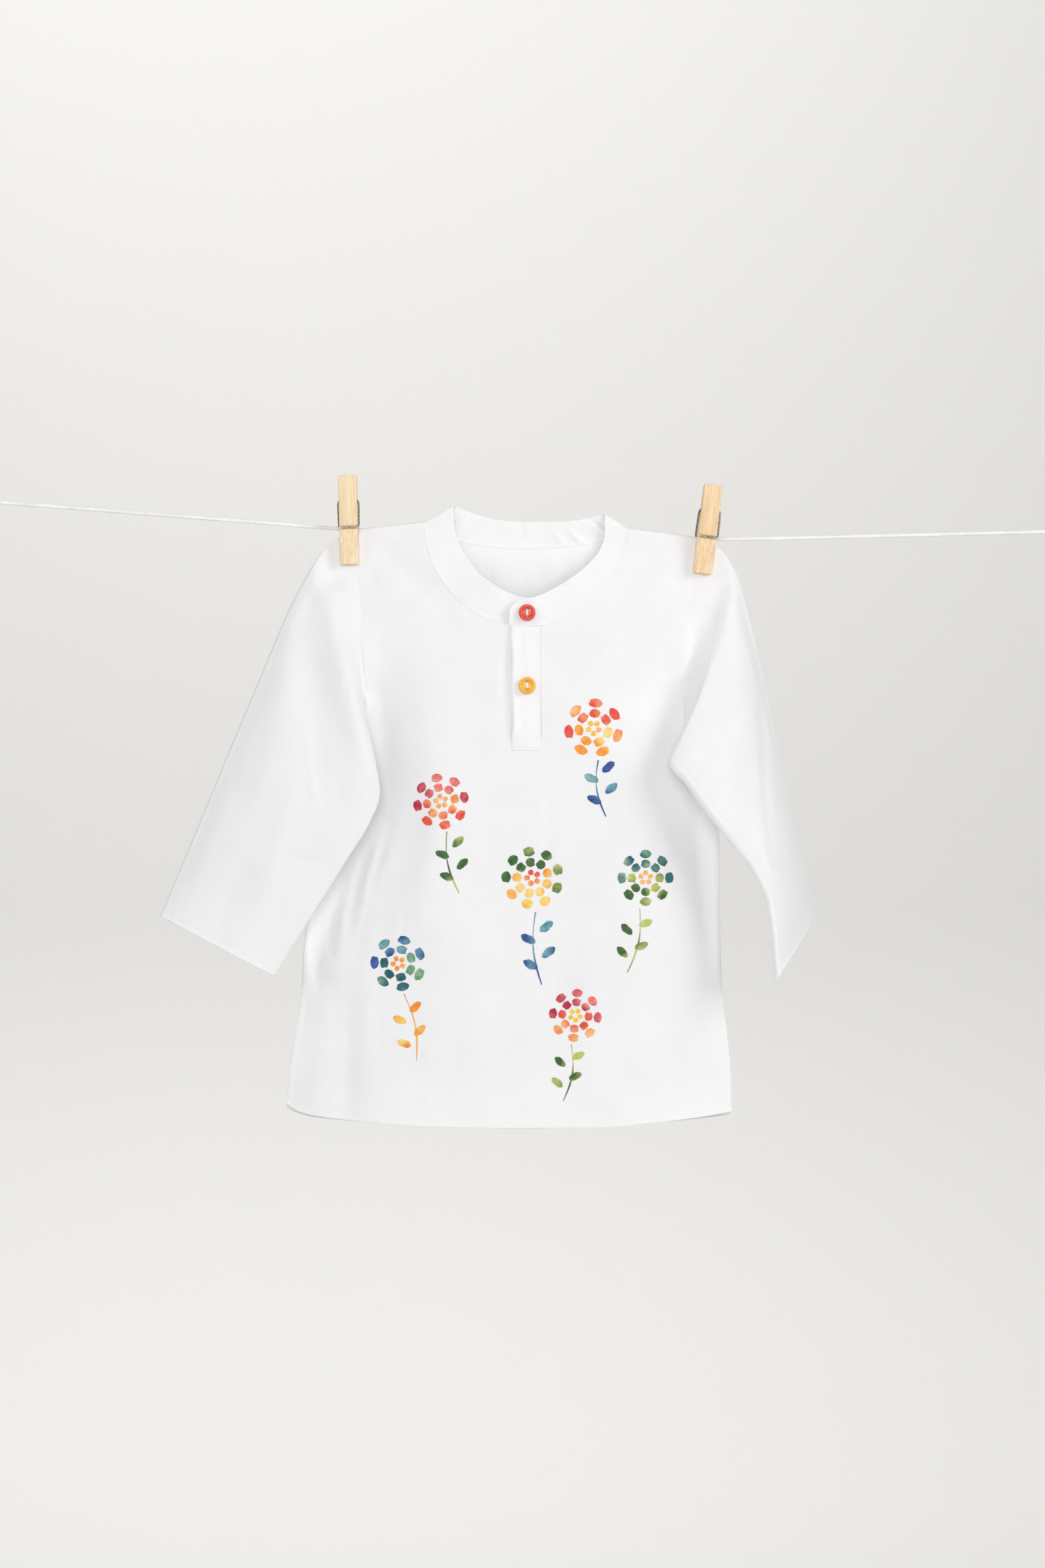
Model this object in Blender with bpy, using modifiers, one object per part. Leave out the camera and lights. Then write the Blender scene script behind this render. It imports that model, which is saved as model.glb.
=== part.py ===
"""A small child's kurta tunic, hung by its shoulders from a washing line with two wooden pegs.

Metres, +Z up, the front of the tunic faces -Y. The origin is on the line's axis, midway between the pegs.
Tables are in millimetres. Their depths are counted backwards from the tunic's middle plane, where the pegs
pinch it, and an empty at the end moves that plane in front of the line.
"""

import math

import bmesh
import bpy
import numpy as np
from mathutils import Matrix, Vector

MM = 0.001

# Driving dimensions, in millimetres
CLOTH = 1.0  # wall of a single layer of cotton with its ease
COLLAR_WALL = 1.4  # two layers and interlining
STRIP_WALL = 1.2  # folded placket strip
SEAM = 0.3  # space between pieces that are sewn together
SEAM_HALF = CLOTH + SEAM / 2  # half thickness where front and back lie on each other

NECK_HALF_WIDTH = 66.8
NECK_LOW = -60.6  # height of the collar seam at centre front
BACK_NECK_LOW = -9.0
SHOULDER_TIP_LEFT = (-111.0, 3.4)  # x, z
SHOULDER_TIP_RIGHT = (111.3, -1.8)
NECK_POINT_HEIGHTS = (8.4, 4.0)  # where the shoulder meets the collar, left and right
ARMPIT_HEIGHT = -106.0
PLACKET_HALF_WIDTH = 9.7
SLIT_BOTTOM = -134.0
PLACKET_BOTTOM = -142.6
HEM_MIDDLE = -389.8
BACK_HEM_DROP = 2.2

BUTTON_RADIUS = 5.5
BUTTON_THICK = 2.2
BUTTON_HOLE_RADIUS = 0.95
BUTTON_HOLE_OFFSET = 2.1
BUTTON_HEIGHTS = {"button_top": -52.4, "button_lower": -100.3}
BUTTON_COLOURS = {"button_top": (0.83, 0.09, 0.04), "button_lower": (0.87, 0.50, 0.03)}

ROW_CROWDING = 1.25  # rows of a panel's grid lie closer together towards the shoulders
FRONT_NECK_COLUMNS = 6
BACK_NECK_COLUMNS = 5

LINE_RADIUS = 1.3
LINE_DEPTH = SEAM_HALF + SEAM + LINE_RADIUS  # behind the cloth at the pegs
LINE_DEPTH_MIDDLE = 5.2  # pushed back by the folded collar between the pegs
PEG_LENGTH_DOWN = 23.5
PEG_LENGTH_UP = 35.0
PEG_WIDTH = 12.0
PEG_GAP = SEAM_HALF + SEAM  # from the middle plane to a jaw's inner face
NOTCH_RADIUS = 4.6
COIL_HEIGHT = 16.5
COIL_RADIUS = 2.3
WIRE_RADIUS = 0.65
BAR_HEIGHT = 0.7

# Body sections from the top down. left and right are the panel edges, centre the middle line; edge and
# mid are the half thicknesses of the hanging body at its edges and middle, in front and behind.
BODY_COLUMNS = ("z", "left", "right", "centre", "edge_front", "mid_front", "edge_back", "mid_back")
BODY_SECTIONS = (
    (20.0, -111.2, 111.6, 0.0, 1.15, 1.5, 1.15, 1.15),
    (4.0, -111.0, 111.4, 0.0, 1.15, 2.2, 1.15, 1.15),
    (-10.0, -110.8, 111.2, 0.0, 1.15, 3.8, 1.15, 1.15),
    (-28.0, -110.2, 110.2, 0.0, 1.8, 7.0, 1.6, 2.6),
    (-50.0, -109.0, 106.4, 0.0, 6.0, 10.5, 4.5, 5.0),
    (-75.0, -107.8, 104.2, 0.0, 8.5, 13.5, 6.5, 7.5),
    (-95.0, -107.2, 104.1, 0.0, 5.0, 15.5, 4.0, 9.0),
    (-106.0, -107.2, 104.5, 0.0, 1.15, 16.5, 1.15, 9.5),
    (-130.0, -114.5, 111.5, 0.0, 1.15, 18.0, 1.15, 10.5),
    (-165.0, -126.5, 121.5, -0.5, 1.15, 19.0, 1.15, 11.5),
    (-205.0, -137.0, 127.4, -1.5, 1.15, 19.5, 1.15, 12.0),
    (-260.0, -145.6, 127.6, -3.5, 1.15, 19.5, 1.15, 12.5),
    (-306.0, -149.0, 129.6, -5.0, 1.2, 19.0, 1.2, 13.0),
    (-350.0, -155.5, 134.2, -6.0, 2.4, 19.0, 2.2, 13.5),
    (-400.0, -161.0, 135.6, -6.5, 3.6, 19.5, 3.2, 14.0),
)

# How far the front hem lies above its lowest line, across the body from edge to edge.
HEM_COLUMNS = ("across", "rise")
HEM_ROWS = (
    (-1.0, 14.5), (-0.95, 10.2), (-0.86, 7.0), (-0.62, 3.2), (-0.4, 0.9),
    (0.0, 0.0), (0.4, 0.2), (0.62, 2.9), (0.82, 5.8), (1.0, 9.4),
)

# Soft folds on the cloth. Each runs through three places; height is towards the outside, with a minus
# for a trough, and half_width is its reach to each side.
FOLD_COLUMNS = ("x1", "z1", "x2", "z2", "x3", "z3", "height", "half_width")
FRONT_FOLDS = (
    (-102, -9, -68, -33, -40, -47, -2.2, 9),
    (90, -20, 67, -37, 46, -48, -2.0, 9),
    (-98, -78, -86, -125, -80, -175, -3.6, 13),
    (-80, -175, -86, -215, -122, -275, -3.0, 15),
    (92, -88, 98, -135, 112, -200, -3.4, 12),
    (112, -200, 119, -245, 124, -285, -2.6, 12),
    (-62, -90, -52, -180, -58, -330, 2.0, 20),
    (66, -110, 70, -200, 76, -330, 2.2, 20),
    (-118, -290, -116, -340, -119, -392, -1.8, 9),
    (28, -170, 24, -280, 20, -392, -1.2, 18),
)
BACK_FOLDS = (
    (-100, -26, -62, -60, -20, -92, 2.0, 12),
    (98, -30, 60, -62, 22, -90, 2.0, 12),
    (0, -40, 2, -120, 0, -230, 1.8, 9),
    (-80, -150, -88, -260, -96, -392, -3.0, 18),
    (70, -140, 78, -260, 88, -392, -3.0, 18),
    (-24, -230, -30, -310, -34, -392, 2.2, 16),
)

# The collar band, once round the neck. turn is in degrees: 0 at centre front, 90 at the left neck point,
# 180 at centre back, 270 at the right neck point and 360 at centre front again, where the over end lies
# on the under one. top is its free edge and step how far it stands in front of the cloth.
COLLAR_COLUMNS = ("turn", "top_x", "top_z", "step")
COLLAR_ROWS = (
    (-8, 8.0, -41.5, -1.2),
    (0, 0.0, -42.4, -1.2),
    (12, -10.0, -39.7, -1.2),
    (20, -16.5, -36.6, -0.5),
    (28, -22.5, -32.6, 0.0),
    (42, -30.8, -26.6, 0.0),
    (56, -38.6, -16.3, 0.0),
    (70, -43.7, -7.2, 0.0),
    (82, -46.9, 2.6, 0.0),
    (88, -48.0, 12.5, 0.0),
    (90, -48.4, 19.2, 0.0),
    (92, -46.6, 18.6, 0.0),
    (98, -43.5, 17.0, 0.0),
    (112, -36.5, 14.2, 0.0),
    (130, -29.0, 11.8, 0.0),
    (150, -18.0, 9.4, 0.0),
    (180, 1.5, 8.0, 0.0),
    (210, 21.0, 8.3, 0.0),
    (230, 32.5, 9.2, 0.0),
    (248, 40.0, 10.7, 0.0),
    (262, 47.0, 12.2, 0.0),
    (268, 50.0, 13.0, 0.0),
    (270, 51.4, 13.3, 0.0),
    (272, 51.6, 7.0, 0.0),
    (278, 51.4, -1.0, 0.0),
    (290, 49.0, -9.0, 0.0),
    (304, 42.5, -18.0, 0.0),
    (318, 32.5, -27.0, 0.0),
    (332, 20.5, -34.8, 0.0),
    (346, 9.0, -40.6, 0.6),
    (352, 3.5, -42.4, 1.3),
    (360, -3.0, -43.9, 1.3),
    (366, -8.4, -46.6, 1.3),
    (371, -11.7, -52.0, 1.3),
)

# Sleeve stations from the armhole to the cuff. top is the outer fold, under the underarm fold; round
# is the radius of both folds, and front and back are how far the two layers stand apart between them.
SLEEVE_COLUMNS = (
    "along", "top_x", "top_y", "top_z", "under_x", "under_y", "under_z", "round", "front", "back",
)
SLEEVE_RIGHT_ROWS = (
    (0.00, -111.4, 0.0, 3.4, -107.6, 0.0, -106.2, 1.3, 6.5, 5.0),
    (0.03, -117.5, 0.0, 1.4, -108.6, -2.2, -109.4, 1.6, 6.5, 4.0),
    (0.07, -126.0, 0.0, -3.8, -107.4, -8.5, -114.5, 2.2, 6.5, 3.5),
    (0.11, -134.0, -0.5, -11.0, -105.2, -14.0, -122.5, 2.8, 7.0, 3.5),
    (0.17, -143.5, -1.0, -25.0, -100.6, -20.5, -141.0, 3.2, 7.5, 3.5),
    (0.27, -156.5, -2.0, -50.0, -95.6, -25.0, -169.0, 3.4, 8.0, 3.5),
    (0.40, -173.0, -4.0, -89.0, -102.4, -26.5, -190.0, 3.4, 8.0, 4.0),
    (0.55, -190.5, -6.0, -131.0, -115.6, -26.5, -211.6, 3.4, 7.5, 4.5),
    (0.70, -208.0, -8.0, -173.5, -131.6, -25.5, -237.0, 3.2, 7.0, 4.5),
    (0.85, -224.6, -9.0, -213.5, -148.6, -23.5, -264.0, 3.0, 6.5, 4.5),
    (1.00, -240.3, -10.0, -251.2, -164.8, -21.5, -289.6, 2.8, 6.0, 4.5),
)
SLEEVE_LEFT_ROWS = (
    (0.00, 111.7, 0.0, -1.8, 104.9, 0.0, -106.2, 1.3, 6.5, 5.0),
    (0.03, 118.0, 0.0, -3.6, 105.8, -2.0, -110.0, 1.6, 6.5, 4.0),
    (0.07, 127.8, 1.0, -9.6, 107.6, -8.5, -118.5, 2.2, 6.5, 4.0),
    (0.11, 137.4, 3.0, -23.0, 106.6, -17.5, -131.0, 2.8, 6.5, 4.5),
    (0.17, 146.0, 6.0, -50.0, 93.0, -29.0, -150.0, 3.0, 7.0, 6.0),
    (0.27, 153.0, 10.0, -78.0, 103.2, -35.0, -164.0, 3.2, 8.0, 7.0),
    (0.40, 160.4, 14.0, -112.0, 114.4, -39.0, -180.0, 3.4, 8.5, 7.5),
    (0.55, 168.6, 18.0, -152.0, 130.6, -41.0, -200.0, 3.4, 8.0, 7.0),
    (0.70, 177.0, 21.0, -192.0, 147.6, -41.5, -221.0, 3.2, 7.0, 6.5),
    (0.85, 184.8, 24.0, -225.0, 157.6, -41.0, -244.0, 3.0, 6.5, 6.0),
    (1.00, 191.4, 27.0, -254.0, 162.6, -40.0, -291.0, 2.8, 6.0, 6.0),
)
SLEEVE_RIGHT_FOLDS = (
    (-124, -32, -114, -70, -108, -103, -3.5, 8),
    (-117, -40, -110, -90, -106, -150, 2.6, 9),
    (-143, -34, -139, -100, -132, -175, -3.4, 13),
    (-160, -90, -176, -150, -205, -215, 1.6, 16),
)
SLEEVE_LEFT_FOLDS = (
    (129, -20, 121, -48, 106, -98, -7.0, 10),
    (139, -26, 140, -85, 143, -150, 3.0, 14),
    (150, -50, 155, -140, 160, -270, 1.4, 7),
)

PEG_COLUMNS = ("x", "z", "tilt_degrees", "rear_longer", "rear_shift")
PEGS = {
    "peg_left": (-117.0, 3.3, -1.4, 0.8, 0.0),
    "peg_right": (118.6, -2.9, 7.4, 0.0, 0.0),
}
# The line, from its left knot to its right one. depth is behind the middle plane.
LINE_COLUMNS = ("x", "depth", "z")
LINE_ROWS = (
    (-357.0, LINE_DEPTH, 21.9),
    (-240.0, LINE_DEPTH, 12.9),
    (-130.0, LINE_DEPTH, 4.3),
    (-117.0, LINE_DEPTH, 3.3),
    (-104.0, LINE_DEPTH + 0.2, 2.9),
    (-72.0, LINE_DEPTH_MIDDLE, 2.1),
    (0.0, LINE_DEPTH_MIDDLE, 0.0),
    (72.0, LINE_DEPTH_MIDDLE, -1.8),
    (106.0, LINE_DEPTH + 0.2, -2.7),
    (118.6, LINE_DEPTH, -2.9),
    (132.0, LINE_DEPTH, -2.9),
    (240.0, LINE_DEPTH, -0.8),
    (352.0, LINE_DEPTH, 2.0),
)
LINE_POINTS = 72
KNOT_LENGTH = 9.0
KNOT_RADIUS = 3.0
LOOP_RADIUS = 6.0
EYE_RADIUS = 5.0
EYE_WIRE = 1.5
EYE_SHANK = 16.0

PINCH_HALF_WIDTH = 11.5
PINCH_BELOW = 6.0
PINCH_FADE = 14.0


def smoothstep(x):
    x = np.clip(x, 0.0, 1.0)
    return x * x * (3.0 - 2.0 * x)


def read(columns, rows, key, at):
    """A column of a table at places along its first column, on a smooth curve that never overshoots."""
    table = np.array(rows, float)
    order = np.argsort(table[:, 0])
    places, values = table[order, 0], table[order, columns.index(key)]
    steps = np.diff(places)
    slopes = np.diff(values) / steps
    product, total = slopes[1:] * slopes[:-1], slopes[1:] + slopes[:-1]
    inner = np.where(product > 0, 2 * product / np.where(product > 0, total, 1.0), 0.0)
    tangents = np.concatenate([slopes[:1], inner, slopes[-1:]])
    i = np.clip(np.searchsorted(places, at, side="right") - 1, 0, len(steps) - 1)
    t = np.clip((at - places[i]) / steps[i], 0.0, 1.0)
    rise = values[i + 1] - values[i]
    start, end = tangents[i] * steps[i], tangents[i + 1] * steps[i]
    return values[i] + t * (start + t * (3 * rise - 2 * start - end + t * (start + end - 2 * rise)))


def body(key, z):
    return read(BODY_COLUMNS, BODY_SECTIONS, key, z)


def across(x, z):
    """-1 at the panel's left edge, 0 on its middle line and 1 at its right edge."""
    centre = body("centre", z)
    from_centre = x - centre
    return np.where(
        from_centre < 0, from_centre / (centre - body("left", z)), from_centre / (body("right", z) - centre)
    )


def along_width(share, z):
    """The x of a share of the width: across() the other way round."""
    centre = body("centre", z)
    half = np.where(share < 0, centre - body("left", z), body("right", z) - centre)
    return centre + share * half


def fold_relief(folds, x, z):
    """Height of the soft folds at a place on the cloth, in the plane of the panels."""
    relief = np.zeros_like(x)
    steps = np.linspace(0.0, 1.0, 25)
    for row in folds:
        fold = dict(zip(FOLD_COLUMNS, row))
        bends = [(1 - steps) ** 2, 2 * steps * (1 - steps), steps**2]
        control_x = 2 * fold["x2"] - (fold["x1"] + fold["x3"]) / 2
        control_z = 2 * fold["z2"] - (fold["z1"] + fold["z3"]) / 2
        line_x = bends[0] * fold["x1"] + bends[1] * control_x + bends[2] * fold["x3"]
        line_z = bends[0] * fold["z1"] + bends[1] * control_z + bends[2] * fold["z3"]
        away = np.hypot(x[..., None] - line_x, z[..., None] - line_z)
        nearest = away.argmin(axis=-1)
        taper = np.sin(np.pi * (0.08 + 0.84 * steps[nearest])) ** 0.7
        relief += fold["height"] * taper * np.exp(-((away.min(axis=-1) / fold["half_width"]) ** 2))
    return relief


def pinched(x, y, z):
    """Depths with the cloth pressed flat in the pegs' jaws, easing out around them."""
    held = np.zeros_like(x)
    for peg_x, peg_z, tilt, _, _ in PEGS.values():
        lean = math.radians(tilt)
        beside = np.abs((x - peg_x) * math.cos(lean) - (z - peg_z) * math.sin(lean))
        above = (z - peg_z) * math.cos(lean) + (x - peg_x) * math.sin(lean)
        outside = np.hypot(
            np.maximum(beside - PINCH_HALF_WIDTH, 0.0), np.maximum(-above - PEG_LENGTH_DOWN - PINCH_BELOW, 0.0)
        )
        held = np.maximum(held, 1.0 - smoothstep(outside / PINCH_FADE))
    flat = np.clip(y, -SEAM_HALF, SEAM_HALF)
    return y + (flat - y) * held


def front_depth(x, z):
    """y of the front panel's outer face."""
    share = np.clip(np.abs(across(x, z)), 0.0, 1.0)
    edge, mid = body("edge_front", z), body("mid_front", z)
    fade = smoothstep((1.0 - share) / 0.12)
    depth = edge + (mid - edge) * (1.0 - share**3) + fade * fold_relief(FRONT_FOLDS, x, z)
    return pinched(x, -np.maximum(depth, SEAM_HALF), z)


def back_depth(x, z):
    """y of the back panel's outer face."""
    share = np.clip(np.abs(across(x, z)), 0.0, 1.0)
    edge, mid = body("edge_back", z), body("mid_back", z)
    fade = smoothstep((1.0 - share) / 0.12) * smoothstep((-20.0 - z) / 40.0)
    depth = edge + (mid - edge) * (1.0 - share**3) + fade * fold_relief(BACK_FOLDS, x, z)
    return pinched(x, np.maximum(depth, SEAM_HALF), z)


def shoulder_height(x):
    """Top edge of the shoulders, from each tip up to its neck point."""
    tips = np.where(x < 0, SHOULDER_TIP_LEFT[1], SHOULDER_TIP_RIGHT[1])
    points = np.where(x < 0, NECK_POINT_HEIGHTS[0], NECK_POINT_HEIGHTS[1])
    reach = (np.abs(x) - NECK_HALF_WIDTH) / (SHOULDER_TIP_RIGHT[0] - NECK_HALF_WIDTH)
    return points + (tips - points) * np.clip(reach, 0.0, 1.0)


def neck_height(x, lowest):
    """The neck curve under the collar, and the shoulder seam beyond it."""
    top = np.where(x < 0, NECK_POINT_HEIGHTS[0], NECK_POINT_HEIGHTS[1])
    inside = np.sqrt(np.clip(1.0 - (x / NECK_HALF_WIDTH) ** 2, 0.0, 1.0))
    return np.where(np.abs(x) < NECK_HALF_WIDTH, top - (top - lowest) * inside, shoulder_height(x))


def panel_place(share, down, lowest, hem_drop):
    """(x, z) at a share of the width and of the way down from the neck and shoulders to the hem."""
    x = along_width(share, np.full_like(share, -20.0))
    for _ in range(6):
        top = neck_height(x, lowest)
        x = along_width(share, top)
    hem = HEM_MIDDLE - hem_drop + read(HEM_COLUMNS, HEM_ROWS, "rise", share)
    z = top + (hem - top) * down
    return along_width(share, z), z


def neck_turns(neck_columns):
    """Degrees from the middle line of a panel's columns along half of its neck."""
    notch = math.degrees(math.asin((PLACKET_HALF_WIDTH - 0.7) / NECK_HALF_WIDTH))
    return np.linspace(notch, 90.0, neck_columns + 1)


def column_shares(neck_columns, shoulder_columns):
    """Shares of the width of a panel's columns, with one on each side of the placket and at each neck point."""
    half = np.concatenate(
        [
            np.sin(np.radians(neck_turns(neck_columns))) * NECK_HALF_WIDTH,
            np.linspace(NECK_HALF_WIDTH, 111.0, shoulder_columns + 1)[1:],
        ]
    )
    return np.concatenate([-half[::-1], half]) / 111.0


def front_place(share, down):
    x, z = panel_place(share, down**ROW_CROWDING, NECK_LOW, 0.0)
    return np.stack([x, front_depth(x, z), z], axis=1)


def back_place(share, down):
    x, z = panel_place(share, down**ROW_CROWDING, BACK_NECK_LOW, BACK_HEM_DROP)
    return np.stack([x, back_depth(x, z), z], axis=1)


def neck_edge():
    """The panels' own neck edges once round: turns in degrees, and the corners that they have there."""
    front, back = neck_turns(FRONT_NECK_COLUMNS), neck_turns(BACK_NECK_COLUMNS)
    front = np.concatenate([[0.0], front])
    turns = [front, 180.0 - back[::-1], 180.0 + back, 360.0 - front[::-1]]
    places = []
    for number, part in enumerate(turns):
        share = -np.sin(np.radians(part)) * NECK_HALF_WIDTH / 111.0
        places.append((front_place if number in (0, 3) else back_place)(share, np.zeros_like(share)))
    return np.concatenate(turns), np.concatenate(places)


def new_object(name, mesh, material):
    obj = bpy.data.objects.new(name, mesh)
    obj.data.materials.append(material)
    PARTS.objects.link(obj)
    return obj


def cloth_sheet(name, material, columns, rows, place, outward, wall, closed=False, drop_face=None):
    """A grid of cloth whose corners place(column, row) puts in space, thickened inwards."""
    grid = bmesh.new()
    bmesh.ops.create_grid(grid, x_segments=columns, y_segments=rows, size=0.5)
    grid.verts.ensure_lookup_table()
    column = np.array([round((v.co.x + 0.5) * columns) for v in grid.verts])
    row = np.array([round((v.co.y + 0.5) * rows) for v in grid.verts])
    spots = place(column, row)
    for vertex, spot in zip(grid.verts, spots):
        vertex.co = Vector(spot) * MM
    if drop_face:
        low = {v: (c, r) for v, c, r in zip(grid.verts, column, row)}
        gone = [f for f in grid.faces if drop_face(*map(min, zip(*(low[v] for v in f.verts))))]
        bmesh.ops.delete(grid, geom=gone, context="FACES")
    if closed:
        bmesh.ops.remove_doubles(grid, verts=grid.verts, dist=0.01 * MM)
    grid.normal_update()
    turned = sum((outward(f.calc_center_median() / MM).dot(f.normal) * f.calc_area()) for f in grid.faces)
    if turned < 0:
        bmesh.ops.reverse_faces(grid, faces=grid.faces)
    mesh = bpy.data.meshes.new(name)
    grid.to_mesh(mesh)
    grid.free()
    mesh.shade_smooth()
    obj = new_object(name, mesh, material)
    wall_modifier = obj.modifiers.new("wall", "SOLIDIFY")
    wall_modifier.thickness = wall * MM
    wall_modifier.offset = -1.0
    wall_modifier.use_even_offset = False
    return obj


def make_front(cotton):
    shares = column_shares(FRONT_NECK_COLUMNS, 4)
    columns, rows = len(shares) - 1, 22
    middle = columns // 2

    def place(column, row):
        return front_place(shares[column], 1.0 - row / rows)

    centre_heights = [place(np.array([middle]), np.array([r]))[0][2] for r in range(rows + 1)]

    def in_slit(column, row):
        return column == middle and centre_heights[row] > SLIT_BOTTOM

    return cloth_sheet(
        "front", cotton, columns, rows, place, lambda p: Vector((0, -1, 0)), CLOTH, drop_face=in_slit
    )


def make_back(cotton):
    shares = column_shares(BACK_NECK_COLUMNS, 3)
    columns, rows = len(shares) - 1, 18

    def place(column, row):
        return back_place(shares[column], 1.0 - row / rows)

    return cloth_sheet("back", cotton, columns, rows, place, lambda p: Vector((0, 1, 0)), CLOTH)


def collar_turns():
    """Where the collar has its columns: at the panels' own and between them, and closer in its folds."""
    edge_turns, _ = neck_edge()
    corners = np.unique(np.round(edge_turns, 6))
    between = (corners[1:] + corners[:-1]) / 2
    folds = [86.0, 88.0, 92.0, 94.0, 266.0, 268.0, 272.0, 274.0]
    ends = [-8.0, -4.0, 365.0, 368.0, 371.0]
    turns = np.unique(np.concatenate([corners, between, folds, ends]))
    return turns[np.concatenate([[True], np.diff(turns) > 1.0])]


def collar_point(turn, up):
    """A point of the collar band's outer face, from its seam (up 0) to its free edge (up 1)."""
    edge_turns, edge_places = neck_edge()
    around = np.mod(turn, 360.0)
    seam = np.stack([np.interp(around, edge_turns, edge_places[:, i]) for i in range(3)], axis=-1)
    top_x, top_z, step = (read(COLLAR_COLUMNS, COLLAR_ROWS, key, turn) for key in ("top_x", "top_z", "step"))
    behind = (around > 90.0) & (around < 270.0)
    from_fold = np.minimum(np.abs(around - 90.0), np.abs(around - 270.0))
    open_share = np.sqrt(np.clip(from_fold / 2.0, 0.0, 1.0))
    fold_half = COLLAR_WALL + 0.9
    top_front = np.minimum(front_depth(top_x, top_z), -fold_half) - 2.0 * smoothstep(-top_z / 40.0)
    top_back = np.maximum(back_depth(top_x, top_z), fold_half)
    seam_front = np.minimum(seam[..., 1], -fold_half)
    seam_back = np.maximum(seam[..., 1], fold_half)
    y_seam = np.where(behind, seam_back, seam_front) * open_share
    y_top = np.where(behind, top_back, top_front) * open_share
    top = np.stack([top_x, y_top, top_z], axis=-1)
    seam[..., 1] = y_seam
    away = (top - seam) / np.linalg.norm(top - seam, axis=-1, keepdims=True)
    seam = seam + away * 2 * SEAM
    spot = seam + (top - seam) * np.asarray(up)[..., None]
    spot[..., 1] -= step
    return spot


def make_collar(cotton):
    turns = collar_turns()
    columns, rows = len(turns) - 1, 4

    def place(column, row):
        return collar_point(turns[column], row / rows)

    def outward(point):
        return Vector((point.x, point.y * 3.0, 0.0))

    return cloth_sheet("collar", cotton, columns, rows, place, outward, COLLAR_WALL)


def make_strip(name, cotton, left, right, top, bottom, away):
    """A placket strip, away millimetres in front of the panel's outer face."""
    columns, rows = 4, 12

    def place(column, row):
        x = left + (right - left) * column / columns
        z = bottom + (top - bottom) * row / rows
        return np.stack([x, front_depth(x, z) - away, z], axis=1)

    return cloth_sheet(name, cotton, columns, rows, place, lambda p: Vector((0, -1, 0)), STRIP_WALL)


def sleeve_ring(stations, along, turn, side_folds, armhole_x, tip_height):
    """Points round a sleeve. turn is 0 at the top fold, 0.5 at the underarm and in front between them."""
    key = {name: read(SLEEVE_COLUMNS, stations, name, along) for name in SLEEVE_COLUMNS}
    top = np.stack([key["top_x"], key["top_y"], key["top_z"]], axis=1)
    under = np.stack([key["under_x"], key["under_y"], key["under_z"]], axis=1)
    spread = (top - under) / np.linalg.norm(top - under, axis=1, keepdims=True)
    facing = np.array([0.0, -1.0, 0.0]) - spread * (-spread[:, 1:2])
    facing /= np.linalg.norm(facing, axis=1, keepdims=True)

    cap = 0.07
    folded = np.minimum(turn, 1.0 - turn)
    sign = np.where(turn <= 0.5, 1.0, -1.0)
    flat = np.clip((folded - cap) / (0.5 - 2 * cap), 0.0, 1.0)
    top_turn = np.clip(folded / cap, 0.0, 1.0) * math.pi / 2
    under_turn = np.clip((0.5 - folded) / cap, 0.0, 1.0) * math.pi / 2
    radius = key["round"]
    start, end = top - spread * radius[:, None], under + spread * radius[:, None]
    tip = (np.cos(top_turn) * (folded < cap) - np.cos(under_turn) * (0.5 - folded < cap)) * radius
    swell = np.where(sign > 0, key["front"], key["back"]) * (4 * flat * (1 - flat)) ** 0.8
    stand = np.sin(top_turn) * np.sin(under_turn) * radius + swell
    loft = start + (end - start) * flat[:, None] + spread * tip[:, None]

    spot = loft + facing * (sign * stand)[:, None]
    relief = fold_relief(side_folds, spot[:, 0], spot[:, 2])
    spot = spot + facing * (relief * smoothstep(flat / 0.12) * smoothstep((1 - flat) / 0.12) * (sign > 0))[:, None]

    hole_z = tip_height + (ARMPIT_HEIGHT - tip_height) * flat
    hole_z = hole_z + radius * (np.cos(top_turn) * (folded < cap) - np.cos(under_turn) * (0.5 - folded < cap))
    hole_z = hole_z - radius * (1 - 2 * flat)
    edge_x = body(armhole_x, hole_z)
    outside = 1.0 if armhole_x == "right" else -1.0
    edge_y = np.where(sign > 0, front_depth(edge_x, hole_z), back_depth(edge_x, hole_z))
    edge_y = edge_y * np.sin(top_turn) * np.sin(under_turn)
    hole = np.stack([edge_x + outside * (2.5 * SEAM + along * 120.0), edge_y, hole_z], axis=1)
    share = smoothstep(along / 0.06)[:, None]
    spot = hole + (spot - hole) * share
    spot[:, 1] = pinched(spot[:, 0], spot[:, 1], spot[:, 2])
    return spot


def make_sleeve(name, cotton, stations, folds, armhole_x, tip_height):
    columns, rows = 28, 22
    cap_columns = 2
    cap, flat_columns = 0.07, columns // 2 - 2 * cap_columns
    quarter = np.concatenate(
        [
            np.linspace(0.0, cap, cap_columns + 1)[:-1],
            np.linspace(cap, 0.5 - cap, flat_columns + 1),
            np.linspace(0.5 - cap, 0.5, cap_columns + 1)[1:],
        ]
    )
    turns = np.concatenate([quarter, 1.0 - quarter[-2::-1]])
    stops = np.linspace(0.0, 1.0, rows + 1) ** 1.5

    def place(column, row):
        return sleeve_ring(stations, stops[row], turns[column], folds, armhole_x, tip_height)

    middles = {round(stop, 3): None for stop in stops}
    centres = []
    for stop in middles:
        ring = place(np.arange(columns), np.full(columns, int(round(stop ** (1 / 1.5) * rows))))
        centres.append(ring.mean(axis=0))
    centres = np.array(centres)

    def outward(point):
        nearest = centres[np.linalg.norm(centres - np.array(point), axis=1).argmin()]
        return Vector(np.array(point) - nearest)

    return cloth_sheet(name, cotton, columns, rows, place, outward, CLOTH, closed=True)


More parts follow.
